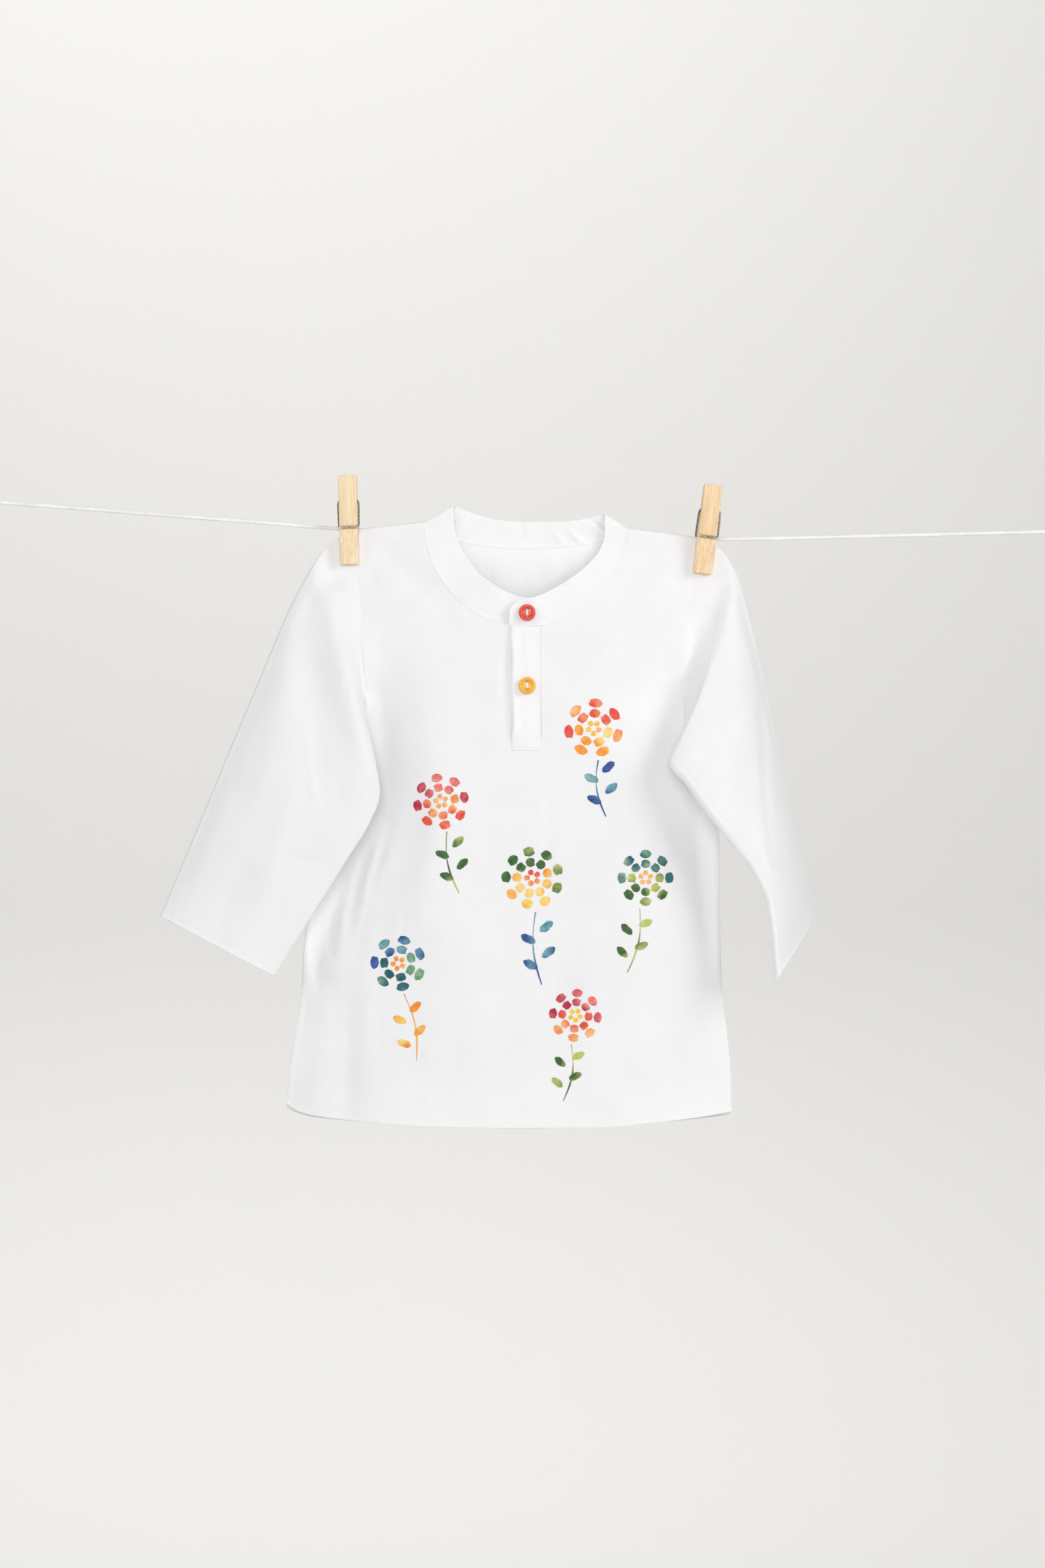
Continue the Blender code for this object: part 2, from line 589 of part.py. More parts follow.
def revolved(name, profile, steps, material):
    """A turned solid from (radius, height) points, round the Z axis, as an applied mesh."""
    mesh = bpy.data.meshes.new(name)
    outline = bmesh.new()
    corners = [outline.verts.new((r * MM, 0.0, h * MM)) for r, h in profile]
    for first, second in zip(corners, corners[1:]):
        outline.edges.new((first, second))
    outline.to_mesh(mesh)
    outline.free()
    obj = new_object(name, mesh, material)
    screw = obj.modifiers.new("turn", "SCREW")
    screw.steps = screw.render_steps = steps
    screw.use_merge_vertices = True
    screw.merge_threshold = 0.00001
    return obj


def make_button(name, material, height):
    """A round two-hole button with a raised rim, lying on the placket or the collar's end."""
    rim, dish = BUTTON_RADIUS, BUTTON_RADIUS * 0.66
    profile = (
        (0.0, BUTTON_THICK * 0.62),
        (dish - 0.5, BUTTON_THICK * 0.62),
        (dish, BUTTON_THICK * 0.8),
        (rim - 0.9, BUTTON_THICK),
        (rim - 0.3, BUTTON_THICK * 0.88),
        (rim, BUTTON_THICK * 0.5),
        (rim - 0.7, 0.0),
        (0.0, 0.0),
    )
    obj = revolved(name, profile, 28, material)
    for number, offset in enumerate((-BUTTON_HOLE_OFFSET, BUTTON_HOLE_OFFSET)):
        bpy.ops.mesh.primitive_cylinder_add(
            vertices=12, radius=BUTTON_HOLE_RADIUS * MM, depth=4 * BUTTON_THICK * MM
        )
        cutter = bpy.context.object
        cutter.name = f"{name}_hole_{number}"
        cutter.data.transform(Matrix.Translation((0.0, offset * MM, 0.0)))
        hide_cutter(cutter)
        cut = obj.modifiers.new(f"hole_{number}", "BOOLEAN")
        cut.object = cutter
        cutter.parent = obj
    x = np.array([0.4])
    base = collar_front(x, np.array([height])) if height > NECK_LOW else strip_front(x, np.array([height]))
    obj.location = Vector((x[0], base - 3 * SEAM, height)) * MM
    obj.rotation_euler = (math.radians(90 + button_lean(height)), 0.0, 0.0)
    return obj


def button_lean(height):
    """Degrees by which the cloth under a button leans out towards its foot."""
    low, high = np.array([height - 5.0]), np.array([height + 5.0])
    middle = np.array([0.0])
    return math.degrees(math.atan2((front_depth(middle, low) - front_depth(middle, high))[0], 10.0))


def strip_front(x, z):
    return float(front_depth(x, z)[0]) - SEAM - STRIP_WALL


def collar_front(x, z):
    """y of the collar's over end at a place, read from the band itself."""
    turns, ups = (a.ravel() for a in np.meshgrid(np.linspace(352.0, 371.0, 30), np.linspace(0.0, 1.0, 20)))
    grid = collar_point(turns, ups)
    return float(grid[np.hypot(grid[:, 0] - x[0], grid[:, 2] - z[0]).argmin(), 1])


def hide_cutter(cutter):
    for collection in cutter.users_collection:
        collection.objects.unlink(cutter)
    CUTTERS.objects.link(cutter)
    cutter.hide_render = True
    cutter.display_type = "WIRE"


def wire(name, points, radius, material, resolution):
    """A round wire or cord along the points."""
    curve = bpy.data.curves.new(name, "CURVE")
    curve.dimensions = "3D"
    curve.bevel_depth = radius * MM
    curve.bevel_resolution = resolution
    curve.use_fill_caps = True
    spline = curve.splines.new("POLY")
    spline.points.add(len(points) - 1)
    for target, point in zip(spline.points, points):
        target.co = (*(Vector(point) * MM), 1.0)
    return new_object(name, curve, material)


def rounded_path(corners, radius, steps=4):
    """A path through corners, each rounded with a short arc."""
    corners = [np.array(c, float) for c in corners]
    path = [corners[0]]
    for before, corner, after in zip(corners, corners[1:], corners[2:]):
        into, out = before - corner, after - corner
        into, out = into / np.linalg.norm(into), out / np.linalg.norm(out)
        for t in np.linspace(0.0, 1.0, steps):
            a, b = corner + into * radius * (1 - t), corner + out * radius * t
            path.append(a + (b - a) * t)
    path.append(corners[-1])
    return path


def peg_frame(name):
    x, z, tilt, _, _ = PEGS[name]
    return Matrix.Translation(Vector((x, 0.0, z)) * MM) @ Matrix.Rotation(math.radians(tilt), 4, "Y")


def circle_side(centre_height, radius, low_first):
    """Points of a round notch in a leg's inner face, going up."""
    reach = math.acos(PEG_GAP / radius)
    turns = np.linspace(-reach, reach, 7)
    return [(radius * math.cos(t), centre_height + radius * math.sin(t)) for t in turns]


def leg_outline(longer):
    """One leg from the side, as (distance from the middle plane, height)."""
    inner = [(PEG_GAP, -PEG_LENGTH_DOWN + 1.2)]
    inner += circle_side(0.0, NOTCH_RADIUS, True)
    inner += circle_side(COIL_HEIGHT, COIL_RADIUS + WIRE_RADIUS + 0.4, True)
    top = PEG_LENGTH_UP + longer
    inner += [(PEG_GAP, COIL_HEIGHT + 4.5), (5.2, top - 0.5)]
    groove = WIRE_RADIUS * 0.9
    outer = [
        (5.7, top),
        (9.2, top),
        (9.7, top - 0.5),
        (8.6, BAR_HEIGHT + WIRE_RADIUS + 1.0),
        (8.6 - groove, BAR_HEIGHT + WIRE_RADIUS * 0.5),
        (8.6 - groove, BAR_HEIGHT - WIRE_RADIUS * 0.5),
        (8.5, BAR_HEIGHT - WIRE_RADIUS - 1.0),
        (5.4, -PEG_LENGTH_DOWN + 0.6),
        (4.8, -PEG_LENGTH_DOWN),
        (PEG_GAP + 0.9, -PEG_LENGTH_DOWN),
    ]
    return inner + outer


def make_leg(peg, part, side, wood):
    """side is -1 for the leg in front of the cloth and 1 for the one behind it."""
    _, _, _, longer, shift = PEGS[peg]
    outline = leg_outline(longer if side > 0 else 0.0)
    curve = bpy.data.curves.new(f"{peg}_{part}", "CURVE")
    curve.dimensions = "2D"
    curve.fill_mode = "BOTH"
    curve.extrude = (PEG_WIDTH / 2 - 0.5) * MM
    curve.bevel_depth = 0.5 * MM
    curve.bevel_resolution = 0
    curve.offset = -0.5 * MM
    spline = curve.splines.new("POLY")
    spline.use_cyclic_u = True
    spline.points.add(len(outline) - 1)
    for target, (away, height) in zip(spline.points, outline):
        target.co = (side * away * MM, height * MM, 0.0, 1.0)
    shape = bpy.data.objects.new(f"{peg}_{part}_outline", curve)
    PARTS.objects.link(shape)
    bpy.context.view_layer.update()
    graph = bpy.context.evaluated_depsgraph_get()
    mesh = bpy.data.meshes.new_from_object(shape.evaluated_get(graph))
    bpy.data.objects.remove(shape)
    solid = bmesh.new()
    solid.from_mesh(mesh)
    bmesh.ops.remove_doubles(solid, verts=solid.verts, dist=0.005 * MM)
    bmesh.ops.recalc_face_normals(solid, faces=solid.faces)
    solid.to_mesh(mesh)
    solid.free()
    # The outline lies in a plane with its thickness along Z: stand it up with the thickness along X.
    upright = Matrix(((0, 0, 1, 0), (1, 0, 0, 0), (0, 1, 0, 0), (0, 0, 0, 1)))
    mesh.transform(Matrix.Translation(Vector((shift if side > 0 else 0.0, 0.0, 0.0)) * MM) @ upright)
    obj = new_object(f"{peg}_{part}", mesh, wood)
    obj.matrix_world = peg_frame(peg)
    return obj


def spring_points():
    """One wire: a bar over the front leg, an arm up its side, the coil, an arm down and a bar behind."""
    half = PEG_WIDTH / 2 + WIRE_RADIUS + 0.3
    bar_depth = 8.6 + 0.35
    turns, per_turn = 3.5, 8
    count = int(turns * per_turn)
    coil = []
    for i in range(count + 1):
        angle = -math.pi / 2 + 2 * math.pi * turns * i / count
        across_peg = half - (2 * half) * i / count
        coil.append((across_peg, COIL_RADIUS * math.sin(angle), COIL_HEIGHT + COIL_RADIUS * math.cos(angle)))
    down = rounded_path(
        [coil[-1], (-half, bar_depth, BAR_HEIGHT), (half - 2.0, bar_depth, BAR_HEIGHT)], 2.0
    )
    up = rounded_path([(-half + 2.0, -bar_depth, BAR_HEIGHT), (half, -bar_depth, BAR_HEIGHT), coil[0]], 2.0)
    return up[:-1] + coil + down[1:]


def make_peg(name, wood, steel):
    make_leg(name, "front_leg", -1, wood)
    make_leg(name, "rear_leg", 1, wood)
    spring = wire(f"{name}_spring", spring_points(), WIRE_RADIUS, steel, 1)
    spring.matrix_world = peg_frame(name)


def line_points():
    places = np.array(LINE_ROWS)[:, 0]
    x = np.linspace(places[0], places[-1], LINE_POINTS)
    return [
        (a, b, c)
        for a, b, c in zip(
            x, read(LINE_COLUMNS, LINE_ROWS, "depth", x), read(LINE_COLUMNS, LINE_ROWS, "z", x)
        )
    ]


def joined(first, others):
    """One solid from overlapping ones, by Boolean unions."""
    for other in others:
        union = first.modifiers.new("join", "BOOLEAN")
        union.operation = "UNION"
        union.object = other
        hide_cutter(other)
    return first


def torus(name, centre, major, minor, axis, material):
    bpy.ops.mesh.primitive_torus_add(
        major_segments=20, minor_segments=8, major_radius=major * MM, minor_radius=minor * MM
    )
    obj = bpy.context.object
    obj.name = name
    for collection in obj.users_collection:
        collection.objects.unlink(obj)
    PARTS.objects.link(obj)
    turn = {"Y": Matrix.Rotation(math.pi / 2, 4, "X"), "Z": Matrix.Identity(4)}[axis]
    obj.data.transform(Matrix.Translation(Vector(centre) * MM) @ turn)
    obj.data.materials.append(material)
    return obj


def make_line_end(side, end, cotton_cord, steel):
    """The line's knotted loop and the screw eye that it hangs in. side is -1 on the left."""
    name = "left" if side < 0 else "right"
    x, depth, z = end
    knot_start = x + side * SEAM
    profile = (
        (0.0, KNOT_LENGTH),
        (KNOT_RADIUS * 0.7, KNOT_LENGTH - 0.6),
        (KNOT_RADIUS, KNOT_LENGTH - 2.4),
        (KNOT_RADIUS, 2.4),
        (KNOT_RADIUS * 0.7, 0.6),
        (0.0, 0.0),
    )
    knot = revolved(f"line_loop_{name}", profile, 16, cotton_cord)
    knot.matrix_world = Matrix.Translation(Vector((knot_start, depth, z)) * MM) @ Matrix.Rotation(
        side * math.pi / 2, 4, "Y"
    )
    loop_x = knot_start + side * (KNOT_LENGTH + LOOP_RADIUS - 1.0)
    loop = torus(f"loop_{name}", (loop_x, depth, z), LOOP_RADIUS, LINE_RADIUS, "Y", cotton_cord)
    joined(knot, [loop])
    inner = LOOP_RADIUS - LINE_RADIUS - SEAM
    eye_x = loop_x + side * (inner - EYE_WIRE + EYE_RADIUS)
    eye = torus(f"screw_eye_{name}", (eye_x, depth, z), EYE_RADIUS, EYE_WIRE, "Z", steel)
    bpy.ops.mesh.primitive_cylinder_add(vertices=10, radius=0.8 * EYE_WIRE * MM, depth=EYE_SHANK * MM)
    shank = bpy.context.object
    shank.name = f"shank_{name}"
    shank_x = eye_x + side * (EYE_RADIUS - 0.4 + EYE_SHANK / 2)
    shank.data.transform(
        Matrix.Translation(Vector((shank_x, depth, z)) * MM) @ Matrix.Rotation(math.pi / 2, 4, "Y")
    )
    joined(eye, [shank])


def material(name, colour, roughness, metallic=0.0):
    made = bpy.data.materials.new(name)
    made.use_nodes = True
    shader = made.node_tree.nodes["Principled BSDF"]
    shader.inputs["Base Color"].default_value = (*colour, 1.0)
    shader.inputs["Roughness"].default_value = roughness
    shader.inputs["Metallic"].default_value = metallic
    return made


def make_kurta():
    cotton = material("white_cotton", (0.90, 0.90, 0.92), 0.9)
    make_front(cotton)
    make_back(cotton)
    make_collar(cotton)
    make_sleeve("sleeve_right", cotton, SLEEVE_RIGHT_ROWS, SLEEVE_RIGHT_FOLDS, "left", SHOULDER_TIP_LEFT[1])
    make_sleeve("sleeve_left", cotton, SLEEVE_LEFT_ROWS, SLEEVE_LEFT_FOLDS, "right", SHOULDER_TIP_RIGHT[1])
    strip_top = NECK_LOW - 2 * SEAM
    make_strip(
        "placket_over", cotton, -PLACKET_HALF_WIDTH, PLACKET_HALF_WIDTH - 0.5, strip_top, PLACKET_BOTTOM,
        SEAM + STRIP_WALL,
    )
    make_strip(
        "placket_under", cotton, -PLACKET_HALF_WIDTH - 2.5, PLACKET_HALF_WIDTH - 1.5, strip_top - 1.0,
        SLIT_BOTTOM - 5.0, -CLOTH - SEAM,
    )
    for name, height in BUTTON_HEIGHTS.items():
        make_button(name, material(name, BUTTON_COLOURS[name], 0.35), height)


def make_hanging():
    wood = material("peg_wood", (0.79, 0.60, 0.36), 0.6)
    steel = material("steel_wire", (0.42, 0.40, 0.37), 0.35, 1.0)
    cord = material("cotton_cord", (0.88, 0.88, 0.86), 0.9)
    for name in PEGS:
        make_peg(name, wood, steel)
    points = line_points()
    wire("line", points, LINE_RADIUS, cord, 2)
    make_line_end(-1, points[0], cord, steel)
    make_line_end(1, points[-1], cord, steel)


def hang_on_line():
    """Puts the line's axis through the origin, with every piece carried by one empty."""
    hung = bpy.data.objects.new("hung_on_line", None)
    hung.location = (0.0, -LINE_DEPTH_MIDDLE * MM, 0.0)
    for collection in (PARTS, CUTTERS):
        for obj in collection.objects:
            if obj.parent is None:
                obj.parent = hung
    PARTS.objects.link(hung)


def clear_scene():
    for obj in list(bpy.data.objects):
        bpy.data.objects.remove(obj)


clear_scene()
PARTS = bpy.data.collections.new("kurta_on_line")
CUTTERS = bpy.data.collections.new("cutters")
bpy.context.scene.collection.children.link(PARTS)
bpy.context.scene.collection.children.link(CUTTERS)
make_kurta()
make_hanging()
hang_on_line()
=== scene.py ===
import math

import bmesh
import bpy
import numpy as np
from mathutils import Matrix, Vector


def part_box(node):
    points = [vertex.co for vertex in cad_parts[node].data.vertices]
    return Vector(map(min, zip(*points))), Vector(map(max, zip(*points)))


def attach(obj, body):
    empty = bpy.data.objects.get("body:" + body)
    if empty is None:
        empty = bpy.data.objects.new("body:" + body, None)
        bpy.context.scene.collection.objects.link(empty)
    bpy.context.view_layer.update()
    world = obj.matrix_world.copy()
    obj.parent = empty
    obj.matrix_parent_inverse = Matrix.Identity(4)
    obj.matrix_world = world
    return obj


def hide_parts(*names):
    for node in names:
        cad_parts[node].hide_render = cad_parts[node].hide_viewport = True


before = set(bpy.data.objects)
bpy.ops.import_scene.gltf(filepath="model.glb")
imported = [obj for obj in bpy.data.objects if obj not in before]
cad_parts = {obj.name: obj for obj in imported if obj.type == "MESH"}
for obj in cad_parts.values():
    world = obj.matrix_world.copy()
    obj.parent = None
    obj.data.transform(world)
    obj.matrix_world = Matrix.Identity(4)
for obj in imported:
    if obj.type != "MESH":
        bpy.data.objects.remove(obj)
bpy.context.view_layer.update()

MM = 0.001
LINE_BEHIND = 5.2

SEAM = 0.3
SEAM_HALF = 1.15
NECK_HALF_WIDTH = 66.8
NECK_LOW = -60.6
BACK_NECK_LOW = -9.0
SHOULDER_TIP_LEFT = (-111.0, 3.4)
SHOULDER_TIP_RIGHT = (111.3, -1.8)
NECK_POINT_HEIGHTS = (8.4, 4.0)
ARMPIT_HEIGHT = -106.0
PLACKET_HALF_WIDTH = 9.7
SLIT_BOTTOM = -134.0
PLACKET_BOTTOM = -142.6
SIDE_SLIT_TOP = -306.0
HEM_MIDDLE = -389.8
BACK_HEM_DROP = 2.2
HEM_TURN = 4.2
STITCH_IN = 3.3

LINE_RADIUS = 1.3
LINE_DEPTH = SEAM_HALF + SEAM + LINE_RADIUS
LINE_DEPTH_MIDDLE = 5.2
PEG_LENGTH_DOWN = 23.5
PEG_LENGTH_UP = 35.0
PEG_WIDTH = 12.0
PEG_GAP = SEAM_HALF + SEAM
NOTCH_RADIUS = 4.6
COIL_HEIGHT = 16.5
COIL_RADIUS = 2.3
WIRE_RADIUS = 0.65
BAR_HEIGHT = 0.7
BUTTON_RADIUS = 5.5
BUTTON_THICK = 2.2
HOLE_OFFSET = 2.1
KNOT_LENGTH = 9.0
LOOP_RADIUS = 6.0
EYE_RADIUS = 5.0
EYE_WIRE = 1.5
EYE_SHANK = 16.0
WRAP_RADIUS = 1.75
WIRE_BEND = 2.0
LEG_ROUNDING = 0.45
PINCH_HALF_WIDTH = 11.5
PINCH_BELOW = 6.0
PINCH_FADE = 14.0

# Lengths that shares are taken of, distances of stitches from edges, and steps. CAP is how much of a
# sleeve's way round bends over its top fold on each side, and the same under its arm.
PANEL_TOP_HALF = 111.0
PANEL_HEIGHT = 390.0
SLEEVE_LENGTH = 283.0
SLEEVE_ROUND = 205.0
COLLAR_HEIGHT = 19.0
CAP = 0.07
HEM_STEPS = np.array([5.2, 4.5, 4.0, 3.6, 3.3, 3.0, 2.5, 1.5, 0.7, 0.0])
SHOULDER_STITCH = 12.0
STRIP_STITCH = 1.6
BOX_LOW, BOX_HIGH = 1.4, 7.6
COLLAR_STITCH = 0.12
COLLAR_TUCK = 1.4
COLLAR_FOLD = 2.3
STITCH_GAP = 0.8
CLOTH_WALL = 0.45
PAINT_LIFT = 0.14
FOLD_STEPS = 24
FAR = 99.0

BODY_COLUMNS = ("z", "left", "right", "centre", "edge_front", "mid_front", "edge_back", "mid_back")
BODY_SECTIONS = (
    (20.0, -111.2, 111.6, 0.0, 1.15, 1.5, 1.15, 1.15),
    (4.0, -111.0, 111.4, 0.0, 1.15, 2.2, 1.15, 1.15),
    (-10.0, -110.8, 111.2, 0.0, 1.15, 3.8, 1.15, 1.15),
    (-28.0, -110.2, 110.2, 0.0, 1.8, 7.0, 1.6, 2.6),
    (-50.0, -109.0, 106.4, 0.0, 6.0, 10.5, 4.5, 5.0),
    (-75.0, -107.8, 104.2, 0.0, 8.5, 13.5, 6.5, 7.5),
    (-95.0, -107.2, 104.1, 0.0, 5.0, 15.5, 4.0, 9.0),
    (-106.0, -107.2, 104.5, 0.0, 1.15, 16.5, 1.15, 9.5),
    (-130.0, -114.5, 111.5, 0.0, 1.15, 18.0, 1.15, 10.5),
    (-165.0, -126.5, 121.5, -0.5, 1.15, 19.0, 1.15, 11.5),
    (-205.0, -137.0, 127.4, -1.5, 1.15, 19.5, 1.15, 12.0),
    (-260.0, -145.6, 127.6, -3.5, 1.15, 19.5, 1.15, 12.5),
    (-306.0, -149.0, 129.6, -5.0, 1.2, 19.0, 1.2, 13.0),
    (-350.0, -155.5, 134.2, -6.0, 2.4, 19.0, 2.2, 13.5),
    (-400.0, -161.0, 135.6, -6.5, 3.6, 19.5, 3.2, 14.0),
)
HEM_COLUMNS = ("across", "rise")
HEM_ROWS = (
    (-1.0, 14.5), (-0.95, 10.2), (-0.86, 7.0), (-0.62, 3.2), (-0.4, 0.9),
    (0.0, 0.0), (0.4, 0.2), (0.62, 2.9), (0.82, 5.8), (1.0, 9.4),
)
# Folds and creases: three (x, z) places along each, its height and its half width.
FRONT_FOLDS = (
    (-102, -9, -68, -33, -40, -47, -2.2, 9), (90, -20, 67, -37, 46, -48, -2.0, 9),
    (-98, -78, -86, -125, -80, -175, -3.6, 13), (-80, -175, -86, -215, -122, -275, -3.0, 15),
    (92, -88, 98, -135, 112, -200, -3.4, 12), (112, -200, 119, -245, 124, -285, -2.6, 12),
    (-62, -90, -52, -180, -58, -330, 2.0, 20), (66, -110, 70, -200, 76, -330, 2.2, 20),
    (-118, -290, -116, -340, -119, -392, -1.8, 9), (28, -170, 24, -280, 20, -392, -1.2, 18),
)
# Finer creases that the panels show besides their large folds.
FRONT_CREASES = (
    (-113, -84, -102, -140, -99, -196, -6.4, 13), (-96, -170, -119, -220, -150, -284, -6.8, 13),
    (-66, -140, -58, -196, -84, -262, 1.4, 11), (-132, -238, -137, -268, -138, -302, -4.8, 7),
    (-88, -186, -96, -214, -104, -240, -1.3, 2.4), (-95, -194, -104, -226, -111, -262, 1.2, 2.3),
    (-104, -206, -111, -234, -116, -270, -1.7, 2.5), (-112, -214, -120, -244, -124, -282, 1.3, 2.2),
    (-120, -226, -127, -254, -128, -292, -1.8, 2.6), (-128, -238, -133, -264, -133, -298, 1.5, 2.3),
    (-134, -250, -138, -272, -139, -300, -1.3, 2.2), (-104, -244, -109, -266, -112, -290, -0.9, 2.6),
    (-134, -306, -137, -340, -141, -380, 0.45, 2.6), (-124, -300, -126, -334, -127, -372, -0.4, 2.4),
    (-110, -296, -112, -330, -111, -384, 0.35, 2.2), (-96, -262, -98, -300, -95, -352, -0.4, 2.6),
    (-84, -236, -85, -270, -82, -312, 0.35, 2.6), (-64, -330, -65, -356, -63, -386, 0.3, 2.4),
    (-12.8, -62, -13.4, -98, -12.6, -138, -1.1, 2.8), (107, -160, 117, -222, 122, -300, -5.2, 5.4),
    (94, -90, 99, -140, 106, -200, 2.6, 12), (88, -150, 90, -230, 98, -320, 1.3, 18),
    (131, -240, 130, -290, 132, -330, 0.5, 2.4), (-98, -108, -95, -160, -123, -288, -1.5, 9),
    (-76, -120, -66, -190, -70, -300, 0.9, 12), (84, -140, 90, -210, 97, -330, 0.9, 10),
    (-84, -26, -62, -46, -46, -66, -0.7, 5), (-60, -70, -40, -84, -20, -92, 0.4, 9),
    (60, -66, 46, -84, 28, -98, 0.5, 10), (84, -54, 72, -68, 58, -78, -0.8, 6),
    (-136, -262, -128, -285, -112, -300, 0.6, 3), (-141, -276, -130, -296, -118, -309, -0.5, 2.5),
    (-128, -196, -121, -232, -124, -262, -0.6, 4), (-112, -180, -110, -222, -118, -250, 0.5, 4),
    (-96, -150, -103, -170, -110, -196, -0.5, 4), (-104, -300, -108, -340, -104, -388, 0.6, 6),
    (-72, -300, -70, -345, -74, -388, -0.5, 8), (9, -150, 8.6, -185, 9.4, -215, 0.5, 2.2),
    (9, -146, 12, -190, 14, -240, -0.5, 6), (46, -240, 42, -300, 45, -388, 0.8, 12),
    (98, -230, 104, -290, 106, -386, 0.8, 9), (118, -300, 117, -340, 121, -384, -0.7, 6),
    (112, -150, 118, -178, 124, -205, -0.6, 4), (-30, -250, -34, -310, -32, -388, 0.7, 12),
    (-92, -96, -78, -112, -58, -120, 0.5, 8), (90, -110, 80, -126, 62, -138, 0.5, 8),
)
BACK_FOLDS = (
    (-100, -26, -62, -60, -20, -92, 2.0, 12), (98, -30, 60, -62, 22, -90, 2.0, 12),
    (0, -40, 2, -120, 0, -230, 1.8, 9), (-80, -150, -88, -260, -96, -392, -3.0, 18),
    (70, -140, 78, -260, 88, -392, -3.0, 18), (-24, -230, -30, -310, -34, -392, 2.2, 16),
)
BACK_CREASES = (
    (-44, -4, -40, -20, -33, -42, -0.6, 3), (-27, -8, -25, -30, -27, -62, 0.5, 4),
    (15, -8, 17, -34, 13, -70, -0.7, 3.5), (28, -8, 27, -36, 22, -64, 0.8, 4),
    (43, -4, 38, -24, 28, -50, -1.4, 4.5), (-70, -40, -44, -62, -18, -76, -0.7, 7),
    (72, -44, 46, -66, 24, -80, -0.6, 6), (-96, -96, -82, -140, -78, -190, -0.9, 8),
    (94, -100, 84, -142, 80, -186, -0.8, 9), (-44, -150, -52, -230, -50, -330, 0.8, 10),
    (34, -170, 40, -240, 38, -350, 0.9, 12), (104, -210, 108, -270, 112, -380, 0.7, 8),
    (-118, -230, -124, -290, -128, -376, 0.7, 8), (4, -280, 8, -330, 6, -390, -0.8, 9),
    (0, -14, 0.5, -60, 1, -140, 0.5, 1.6), (-58, -100, -30, -118, -6, -124, 0.5, 8),
    (54, -108, 30, -122, 8, -128, 0.4, 9),
)
COLLAR_COLUMNS = ("turn", "top_x", "top_z", "step")
COLLAR_ROWS = (
    (-8, 8.0, -41.5, -1.2), (0, 0.0, -42.4, -1.2), (12, -10.0, -39.7, -1.2), (20, -16.5, -36.6, -0.5),
    (28, -22.5, -32.6, 0.0), (42, -30.8, -26.6, 0.0), (56, -38.6, -16.3, 0.0), (70, -43.7, -7.2, 0.0),
    (82, -46.9, 2.6, 0.0), (88, -48.0, 12.5, 0.0), (90, -48.4, 19.2, 0.0), (92, -46.6, 18.6, 0.0),
    (98, -43.5, 17.0, 0.0), (112, -36.5, 14.2, 0.0), (130, -29.0, 11.8, 0.0), (150, -18.0, 9.4, 0.0),
    (180, 1.5, 8.0, 0.0), (210, 21.0, 8.3, 0.0), (230, 32.5, 9.2, 0.0), (248, 40.0, 10.7, 0.0),
    (262, 47.0, 12.2, 0.0), (268, 50.0, 13.0, 0.0), (270, 51.4, 13.3, 0.0), (272, 51.6, 7.0, 0.0),
    (278, 51.4, -1.0, 0.0), (290, 49.0, -9.0, 0.0), (304, 42.5, -18.0, 0.0), (318, 32.5, -27.0, 0.0),
    (332, 20.5, -34.8, 0.0), (346, 9.0, -40.6, 0.6), (352, 3.5, -42.4, 1.3), (360, -3.0, -43.9, 1.3),
    (366, -8.4, -46.6, 1.3), (371, -11.7, -52.0, 1.3),
)
# Creases across the collar band: turn in degrees, height and half width in degrees.
COLLAR_CREASES = (
    (101, -0.9, 2.2), (112, 0.7, 2.8), (124, -0.7, 3.0), (138, 0.6, 3.2), (151, -0.7, 2.6), (163, 0.5, 2.8),
    (179, -0.9, 1.6), (190, 0.6, 2.6), (201, -0.8, 2.6), (214, -0.9, 3.0), (228, 0.9, 3.0), (239, -1.5, 3.0),
    (249, 1.2, 3.0), (260, -1.0, 2.2), (47, 0.25, 4.0), (300, 0.3, 4.0),
    (325, -0.25, 5.0), (30, -0.25, 5.0),
)
SLEEVE_COLUMNS = (
    "along", "top_x", "top_y", "top_z", "under_x", "under_y", "under_z", "round", "front", "back",
)
SLEEVE_RIGHT_ROWS = (
    (0.00, -111.4, 0.0, 3.4, -107.0, 0.0, -106.2, 1.3, 6.5, 5.0),
    (0.03, -117.5, 0.0, 1.4, -107.0, -2.2, -109.4, 1.6, 6.5, 4.0),
    (0.07, -126.0, 0.0, -3.8, -106.2, -8.5, -114.5, 2.2, 6.5, 3.5),
    (0.11, -134.0, -0.5, -11.0, -105.2, -14.0, -122.5, 2.8, 7.0, 3.5),
    (0.17, -143.5, -1.0, -25.0, -100.6, -20.5, -141.0, 3.2, 7.5, 3.5),
    (0.27, -156.5, -2.0, -50.0, -95.6, -25.0, -169.0, 3.4, 8.0, 3.5),
    (0.40, -173.0, -4.0, -89.0, -102.4, -26.5, -190.0, 3.4, 8.0, 4.0),
    (0.55, -190.5, -6.0, -131.0, -115.6, -26.5, -211.6, 3.4, 7.5, 4.5),
    (0.70, -208.0, -8.0, -173.5, -131.6, -25.5, -237.0, 3.2, 7.0, 4.5),
    (0.85, -224.6, -9.0, -213.5, -148.6, -23.5, -264.0, 3.0, 6.5, 4.5),
    (1.00, -240.3, -10.0, -251.2, -164.8, -21.5, -289.6, 2.8, 6.0, 4.5),
)
